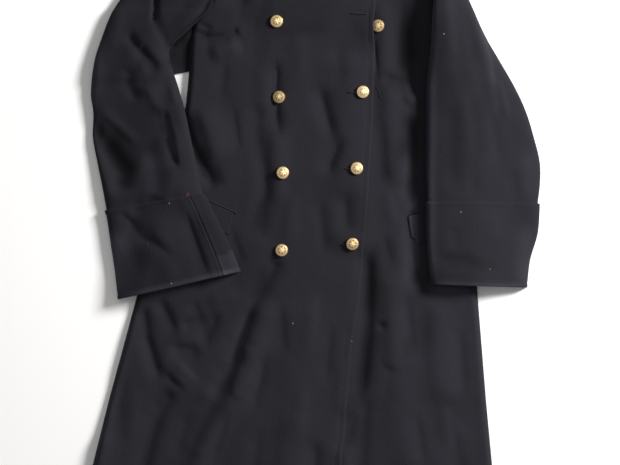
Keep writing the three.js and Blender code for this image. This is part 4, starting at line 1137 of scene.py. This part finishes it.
def button_points(height):
    """The points of a button, ring by ring from its middle, and how dark its gilt is painted at each: patina
    in the hollows, painted shade on the rim.
    """
    r = np.concatenate([np.linspace(0.02, FACE_EDGE, FACE_RINGS), BUTTON_RIM[:, 0]])
    turn = np.linspace(0, 2 * math.pi, BUTTON_SIDES, endpoint=False)
    rr, tt = np.meshgrid(r, turn, indexing="ij")
    face = relief(rr, tt)
    z = height * (DOME_START + DOME_RISE * (1 - np.minimum(rr / FACE_EDGE, 1) ** 2)) + RELIEF * face
    z[FACE_RINGS:] = height * BUTTON_RIM[:, 1:]
    patina_and_shade = HOLLOW_FACE * (1 - face)
    # painted shade: the rim all round is darkened
    patina_and_shade[FACE_RINGS:] = RIM_PAINTED_SHADE
    patina_and_shade[FACE_RINGS - 1:FACE_RINGS + 1] = HOLLOW_GROOVE
    flat = np.stack([rr * np.cos(tt), rr * np.sin(tt)], -1) * BUTTON_RADIUS
    points = np.concatenate([flat, z[..., None]], -1).reshape(-1, 3)
    middle = [0, 0, height * (DOME_START + DOME_RISE) + 0.0004]
    return np.vstack([points, middle, [0, 0, 0]]), [*patina_and_shade.ravel(), HOLLOW_CENTRE, HOLLOW_UNDER]


def button_mesh(name, height):
    points, patina_and_shade = button_points(height)
    top, low = len(points) - 2, len(points) - 2 - BUTTON_SIDES
    faces = []
    for ring in range(0, low, BUTTON_SIDES):
        for side in range(BUTTON_SIDES):
            n = (side + 1) % BUTTON_SIDES
            outer = ring + BUTTON_SIDES
            faces.append((ring + side, outer + side, outer + n, ring + n))
    for side in range(BUTTON_SIDES):
        n = (side + 1) % BUTTON_SIDES
        faces.append((top, side, n))
        faces.append((top + 1, low + n, low + side))
    mesh = bpy.data.meshes.new(name)
    mesh.from_pydata(points.tolist(), [], faces)
    mesh.polygons.foreach_set("use_smooth", np.ones(len(faces), bool))
    mark(mesh, "patina_and_shade", np.array(patina_and_shade))
    mesh.materials.append(GILT)
    return mesh


# %% Seat the buttons
BUTTONS = {  # plan place
    "button_right_1": (276.9, 21.7), "button_right_2": (279.7, 97.2),
    "button_right_3": (282.7, 172.8), "button_right_4": (281.9, 250.0),
    "button_left_1": (378.4, 26.2), "button_left_2": (362.6, 92.2),
    "button_left_3": (356.6, 168.4), "button_left_4": (352.3, 243.5),
}
CAUGHT = "button_left_1"  # sewn to the left front and half under the right one's edge
RIM_PLACES, BUTTON_CLEAR = 16, 0.0002  # places felt for under the rim, and the gap left there


def seat(name, gx, gy, spin):
    """Sets a button square on the slope of the cloth under its rim."""
    tree, height = (left_tree, CAUGHT_HEIGHT) if name == CAUGHT else (fronts_tree, BUTTON_HEIGHT)
    x, y = plan_x(gx), plan_y(gy)
    rim = [land(tree, x + BUTTON_RADIUS * math.cos(t), y + BUTTON_RADIUS * math.sin(t))[0]
           for t in np.linspace(0, 2 * math.pi, RIM_PLACES, endpoint=False)]
    spread = RIM_PLACES / 2 * BUTTON_RADIUS**2
    slope_x = sum((p.x - x) * p.z for p in rim) / spread
    slope_y = sum((p.y - y) * p.z for p in rim) / spread
    upright = Vector((-slope_x, -slope_y, 1)).normalized()
    middle = land(tree, x, y)[0]
    clear = sorted((p - middle).dot(upright) for p in rim)[-3]  # wool gives way at the two highest places
    turn = Vector((0, 0, 1)).rotation_difference(upright).to_matrix().to_4x4()
    mesh = button_mesh(name + "_gilt", height)
    place = Matrix.Translation(middle + upright * (max(0.0, clear) + BUTTON_CLEAR))
    mesh.transform(place @ turn @ Matrix.Rotation(spin, 4, "Z"))
    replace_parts(add_piece(name + "_gilt", mesh), name)


for number, (button, (gx, gy)) in enumerate(BUTTONS.items()):
    seat(button, gx, gy, 0.35 * math.sin(2.3 * number))
print("buttons seated:", len(BUTTONS))

# %% [markdown]
# ## The sewing
#
# Stitches hold the pressed edges, and buttonholes are worked with stitches set close across a slit. Each
# stitch could be placed by hand, but they all repeat along a line. So one Geometry Nodes group walks along a
# line on the cloth and sets down a short rounded stitch at each step. Slits and loose threads are thin
# round tubes on the same kind of line.

# %% Threads and lint
def plain(name, colour, roughness):
    material, tree, shader, place = new_material(name)
    tone = math_node(tree, "MULTIPLY_ADD", noise(tree, 900, 2, 0.5, place), 0.5, 0.75)
    tree.links.new(scaled(tree, colour, tone), shader.inputs["Base Color"])
    shader.inputs["Roughness"].default_value = roughness
    return material


THREAD = plain("Sewing thread", (0.014, 0.0135, 0.018), 0.8)
RED_THREAD = plain("Red thread", (0.45, 0.02, 0.025), 0.7)
DULL_RED = plain("Faded red thread", (0.16, 0.02, 0.03), 0.8)
LINT = plain("Lint", (0.42, 0.40, 0.38), 0.9)
PINK_LINT = plain("Pink lint", (0.50, 0.22, 0.27), 0.9)
SLIT_DARK = plain("Shade in a slit", (0.002, 0.002, 0.003), 0.9)
print("materials made:", len(bpy.data.materials))

# %% Stitch group
STITCH = {"Spacing": 0.0042, "Length": 0.0030, "Thickness": 0.0007, "Jitter": 0.0002, "Across": 0.0}
STITCH_SEED = 3


def stitch_sockets(group):
    socket = group.interface.new_socket
    socket("Geometry", in_out="INPUT", socket_type="NodeSocketGeometry")
    for label, value in STITCH.items():
        socket(label, in_out="INPUT", socket_type="NodeSocketFloat").default_value = value
    socket("Seed", in_out="INPUT", socket_type="NodeSocketInt").default_value = STITCH_SEED
    socket("Thread", in_out="INPUT", socket_type="NodeSocketMaterial")
    socket("Geometry", in_out="OUTPUT", socket_type="NodeSocketGeometry")


def make_stitch_group():
    """Line to points, a ball stretched along the line at each one, a little wander, then plain mesh."""
    group = bpy.data.node_groups.new("Stitch row", "GeometryNodeTree")
    stitch_sockets(group)
    node, link = group.nodes.new, group.links.new
    source, sink = node("NodeGroupInput"), node("NodeGroupOutput")

    line = node("GeometryNodeMeshToCurve")
    link(source.outputs["Geometry"], line.inputs[0])
    stepped = node("GeometryNodeResampleCurve")
    stepped.mode = "LENGTH"
    link(line.outputs[0], stepped.inputs["Curve"])
    link(source.outputs["Spacing"], stepped.inputs["Length"])

    ball = node("GeometryNodeMeshUVSphere")
    ball.inputs["Segments"].default_value = 8
    ball.inputs["Rings"].default_value = 5
    ball.inputs["Radius"].default_value = 0.5
    size = node("ShaderNodeCombineXYZ")
    link(source.outputs["Length"], size.inputs[0])
    link(source.outputs["Thickness"], size.inputs[1])
    link(source.outputs["Thickness"], size.inputs[2])

    turned = node("FunctionNodeAlignRotationToVector")
    turned.axis = "X"
    link(node("GeometryNodeInputTangent").outputs[0], turned.inputs["Vector"])
    swing = node("FunctionNodeRotateRotation")
    swing.rotation_space = "LOCAL"
    link(turned.outputs[0], swing.inputs["Rotation"])
    lean = node("FunctionNodeAxisAngleToRotation")
    lean.inputs["Axis"].default_value = (0, 0, 1)
    link(source.outputs["Across"], lean.inputs["Angle"])
    link(lean.outputs[0], swing.inputs["Rotate By"])

    placed = node("GeometryNodeInstanceOnPoints")
    link(stepped.outputs[0], placed.inputs["Points"])
    link(ball.outputs["Mesh"], placed.inputs["Instance"])
    link(swing.outputs[0], placed.inputs["Rotation"])
    link(size.outputs[0], placed.inputs["Scale"])

    wander = node("FunctionNodeRandomValue")
    wander.data_type = "FLOAT_VECTOR"
    wander.inputs["Min"].default_value = (-1, -1, 0)
    wander.inputs["Max"].default_value = (1, 1, 0.3)
    link(source.outputs["Seed"], wander.inputs["Seed"])
    spread = node("ShaderNodeVectorMath")
    spread.operation = "SCALE"
    link(wander.outputs["Value"], spread.inputs[0])
    link(source.outputs["Jitter"], spread.inputs["Scale"])
    moved = node("GeometryNodeTranslateInstances")
    link(placed.outputs[0], moved.inputs["Instances"])
    link(spread.outputs[0], moved.inputs["Translation"])

    real = node("GeometryNodeRealizeInstances")
    link(moved.outputs[0], real.inputs[0])
    painted = node("GeometryNodeSetMaterial")
    link(real.outputs[0], painted.inputs["Geometry"])
    link(source.outputs["Thread"], painted.inputs["Material"])
    link(painted.outputs[0], sink.inputs[0])
    return group


STITCH_ROW = make_stitch_group()
print("group made:", STITCH_ROW.name)

# %% Laying a row of stitches
POINT_GAP = 0.002  # a line on the cloth has a point at every so many metres
STITCH_LIFT = 0.0001


def small_piece(name, mesh, host):
    """A separate small thing that lies on a cloth piece."""
    mesh.polygons.foreach_set("use_smooth", np.ones(len(mesh.polygons), bool))
    piece = add_piece(name, mesh)
    ON_CLOTH[host].append(piece)
    return piece


def on_cloth_line(tree, plan, lift):
    """Points along a plan line, set on the cloth."""
    plan = np.array(plan, float)
    run = np.concatenate([[0], np.cumsum(np.hypot(*np.diff(plan, axis=0).T))])
    at = np.linspace(0, run[-1], max(3, int(run[-1] * STEP / POINT_GAP)))
    places = zip(np.interp(at, run, plan[:, 0]), np.interp(at, run, plan[:, 1]))
    spots = [land(tree, plan_x(gx), plan_y(gy)) for gx, gy in places]
    return [tuple(spot + normal * lift) for spot, normal in spots]


def stitch_row(name, tree, plan, host, **settings):
    points = on_cloth_line(tree, plan, STITCH_LIFT)
    line = bpy.data.meshes.new(name + " line")
    line.from_pydata(points, [(k, k + 1) for k in range(len(points) - 1)], [])
    holder = bpy.data.objects.new(name + " line", line)
    bpy.context.collection.objects.link(holder)
    modifier = holder.modifiers.new("stitches", "NODES")
    modifier.node_group = STITCH_ROW
    names = {item.name: item.identifier for item in STITCH_ROW.interface.items_tree if item.in_out == "INPUT"}
    for label, value in {"Thread": THREAD, **settings}.items():
        modifier[names[label]] = value
    bpy.context.view_layer.update()
    seen = holder.evaluated_get(bpy.context.evaluated_depsgraph_get())
    mesh = bpy.data.meshes.new_from_object(seen)
    mesh.name = name
    bpy.data.objects.remove(holder)
    print(f"{name}: {len(mesh.vertices)} points")
    return small_piece(name, mesh, host)


# %% Rows along the pressed edges
EDGE_ROW = 5.1  # plan steps from the front edge to its stitching
CLOTH_TREES = {"front": ("front_right_cloth", right_tree), "lower": ("front_left_cloth", left_tree)}
for side, made in (("right", RIGHT), ("left", LEFT)):
    for part, label in (("cuff", "cuff"), ("top", "sleeve_top")):
        CLOTH_TREES[f"{label}_{side}"] = (f"{label}_{side}_cloth", tree_of(made[part]))

edge_y = np.linspace(-74, 527, 90)
edge_line = np.stack([front_edge(edge_y) - EDGE_ROW, edge_y], -1)
stitch_row("front_edge_stitches", right_tree, edge_line, "front_right_cloth")
FLAP_ROW = [(411.6, 218.6), (414.6, 237.5), (418.5, 240.5), (462, 229)]
stitch_row("flap_stitches", tree_of(MADE_FLAPS["left"]), FLAP_ROW, "pocket_flap_left_cloth", Spacing=0.0036,
           Length=0.0026)
CUFF_ROWS = {
    "right": [(121, 292.5), (160, 289), (200, 279.5), (214, 275.5)],
    "left": [(436, 279.3), (480, 279.8), (523, 281.5)],
}
for side, row in CUFF_ROWS.items():
    host, tree = CLOTH_TREES[f"cuff_{side}"]
    stitch_row(f"cuff_{side}_stitches", tree, row, host)

# %% A thin round thread
FIBRE_SIDES = 6
FIBRE_SINK = 0.6  # its middle stands this share of its radius over the cloth
FIBRE_TIP, FIBRE_TAPER = 0.35, 0.6  # its ends start at this share of the radius and grow by so much a point


def fibre(name, tree, plan, host, radius, material, lift=0.0002):
    points = np.array(on_cloth_line(tree, plan, lift + radius * FIBRE_SINK))
    away = np.gradient(points, axis=0)
    away /= np.linalg.norm(away, axis=1, keepdims=True) + 1e-12
    flank = np.cross(away, (0, 0, 1.0))
    flank /= np.linalg.norm(flank, axis=1, keepdims=True) + 1e-12
    up = np.cross(flank, away)
    from_end = np.minimum(np.arange(len(points)), np.arange(len(points))[::-1])
    taper = np.minimum(1, from_end * FIBRE_TAPER + FIBRE_TIP)[:, None, None]
    turn = np.linspace(0, 2 * math.pi, FIBRE_SIDES + 1)[:-1]
    ring = np.cos(turn)[None, :, None] * flank[:, None] + np.sin(turn)[None, :, None] * up[:, None]
    verts = (points[:, None] + ring * radius * taper).reshape(-1, 3).tolist()
    faces = []
    for k in range(0, len(verts) - FIBRE_SIDES, FIBRE_SIDES):
        for i in range(FIBRE_SIDES):
            n = (i + 1) % FIBRE_SIDES
            faces.append((k + i, k + n, k + FIBRE_SIDES + n, k + FIBRE_SIDES + i))
    faces += [tuple(range(FIBRE_SIDES - 1, -1, -1)), tuple(range(len(verts) - FIBRE_SIDES, len(verts)))]
    mesh = bpy.data.meshes.new(name)
    mesh.from_pydata(verts, [], faces)
    mesh.materials.append(material)
    return small_piece(name, mesh, host)


# %% Buttonholes
HOLES = [(351, 368, 14.0), (347.5, 365, 92.6), (344.5, 360, 168.8), (341, 356, 244.4)]  # two x places, y
HOLE_SLOPE, HOLE_HALF = 0.05, 0.62  # how it falls to the outer end, and from its slit to its stitches


def buttonhole(number, x0, x1, y):
    """A worked hole: a dark slit with close stitches set across both of its edges."""
    span = [(x0, y), (x1, y + HOLE_SLOPE * (x1 - x0))]
    fibre(f"buttonhole_{number}_slit", right_tree, span, "front_right_cloth", 0.0012, SLIT_DARK, STITCH_LIFT)
    for side, word in ((-1, "upper"), (1, "lower")):
        edge = [(x, v + side * HOLE_HALF) for x, v in span]
        stitch_row(f"buttonhole_{number}_edge_{word}", right_tree, edge, "front_right_cloth", Spacing=0.0006,
                   Length=0.0015, Thickness=0.00055, Across=math.pi / 2, Jitter=0.00008, Seed=number)


for number, (x0, x1, y) in enumerate(HOLES, 1):
    buttonhole(number, x0, x1, y)

# %% The shade in the pockets' mouths and above the cuffs
POCKET_SPANS = {"right": [(208, 200.2), (237, 213.2)], "left": [(408, 215.9), (420, 212.6)]}
CUFF_SPANS = {"right": [(108, 209.6), (202, 193.8)], "left": [(428, 201.2), (536, 203.1)]}

for side, tree in (("right", right_tree), ("left", left_tree)):
    fibre(f"pocket_{side}_slit", tree, POCKET_SPANS[side], f"front_{side}_cloth", 0.0015, SLIT_DARK, lift=0.0)
for side, span in CUFF_SPANS.items():
    host, tree = CLOTH_TREES[f"sleeve_top_{side}"]
    fibre(f"cuff_{side}_shade", tree, span, host, 0.0008, SLIT_DARK, lift=0.0004)
print("shades laid:", len(POCKET_SPANS) + len(CUFF_SPANS))

# %% Loose threads and lint
SPECK_RADIUS, SPECK_BEND = 0.00045, 0.35
SPECKS = [  # on what, x, y, size in plan steps, turn in degrees, material
    ("sleeve_top_left", 443, 35, 2.2, 30, LINT), ("cuff_right", 170, 203.5, 1.6, 80, LINT),
    ("cuff_right", 172, 283, 2.0, 10, LINT), ("cuff_left", 460, 212, 2.2, 5, LINT),
    ("cuff_left", 489, 269, 1.2, 60, LINT), ("front", 293, 323, 1.6, 70, LINT),
    ("front", 352, 341, 1.4, 20, LINT), ("lower", 416, 240, 1.2, 40, LINT),
    ("cuff_right", 149, 244, 3.2, 110, DULL_RED), ("sleeve_top_right", 187.5, 195, 3.0, 35, RED_THREAD),
    ("sleeve_top_right", 189.5, 196, 2.4, 120, RED_THREAD),
    ("sleeve_top_right", 188.5, 194, 1.2, 160, PINK_LINT),
]
LOOSE_THREAD = [(374.5, 86.5), (377.5, 89), (379.5, 92.5), (378.5, 96), (381.5, 98)]

for number, (cloth, gx, gy, size, turn, material) in enumerate(SPECKS, 1):
    way = np.array([math.cos(math.radians(turn)), math.sin(math.radians(turn))]) * size / 2
    bend = np.array([-way[1], way[0]]) * SPECK_BEND
    middle = np.array([gx, gy])
    host, tree = CLOTH_TREES[cloth]
    fibre(f"speck_{number}", tree, [middle - way, middle + bend, middle + way], host, SPECK_RADIUS, material)
fibre("loose_thread", left_tree, LOOSE_THREAD, "front_left_cloth", 0.0003, THREAD, lift=0.0004)
print("specks and threads:", len(SPECKS) + 1)

# %% [markdown]

# %% [markdown]
# ## The stage
#
# The floor is plain and pale. One large soft light stands to the upper right of the coat and shades the
# folds to the left, and a broad weak one fills them. A sharp lamp would show the nap more but cut the
# soft folds to hard lines. The camera looks straight down on the coat between throat and knee, from
# high up, so that the tops of the buttons hardly lean outwards.

# %% Floor
def floor():
    bpy.ops.mesh.primitive_plane_add(size=14, location=(0, 0, -0.0005))
    plane = bpy.context.object
    plane.name = "floor"
    material = bpy.data.materials.new("White floor")
    material.use_nodes = True
    shader = material.node_tree.nodes["Principled BSDF"]
    shader.inputs["Base Color"].default_value = (0.93, 0.92, 0.91, 1)
    shader.inputs["Roughness"].default_value = 0.9
    shader.inputs["Specular IOR Level"].default_value = 0.1
    plane.data.materials.append(material)


floor()

# %% Light
LIGHTS = [  # name, place, what it is aimed at, side of its square, watts, colour
    ("key", (2.6, 1.235, 1.755), (0.0, -0.05, 0), 0.9, 226, (1.0, 0.99, 0.975)),
    ("fill", (-0.6, 0.6, 3.4), (0, 0, 0), 3.0, 17, (0.97, 0.98, 1.0)),
]
WORLD_STRENGTH = 0.26


def area_light(name, place, aim, side, power, colour):
    data = bpy.data.lights.new(name, "AREA")
    data.shape = "RECTANGLE"
    data.size, data.size_y = side, side
    data.energy = power
    data.color = colour
    lamp = bpy.data.objects.new(name, data)
    bpy.context.collection.objects.link(lamp)
    lamp.location = place
    lamp.rotation_mode = "QUATERNION"
    lamp.rotation_quaternion = (Vector(aim) - Vector(place)).to_track_quat("-Z", "Y")


for light in LIGHTS:
    area_light(*light)
world = bpy.data.worlds.new("studio")
world.use_nodes = True
background = world.node_tree.nodes["Background"]
background.inputs["Color"].default_value = (1, 1, 1, 1)
background.inputs["Strength"].default_value = WORLD_STRENGTH
bpy.context.scene.world = world
bpy.context.scene.view_settings.view_transform = "Standard"
print("lights:", [light[0] for light in LIGHTS])

# %% Camera
VIEW_CENTRE = (310.0, 232.5)  # plan place in the middle of the picture
VIEW_WIDTH = 620 * STEP
CAMERA_HEIGHT, SENSOR_WIDTH = 8.0, 36


def camera():
    data = bpy.data.cameras.new("camera")
    data.sensor_width = SENSOR_WIDTH
    data.lens = SENSOR_WIDTH * CAMERA_HEIGHT / VIEW_WIDTH
    data.clip_end = 50
    eye = bpy.data.objects.new("camera", data)
    bpy.context.collection.objects.link(eye)
    eye.location = (plan_x(VIEW_CENTRE[0]), plan_y(VIEW_CENTRE[1]), CAMERA_HEIGHT)
    bpy.context.scene.camera = eye
    return data.lens


print("lens:", round(camera()), "mm")
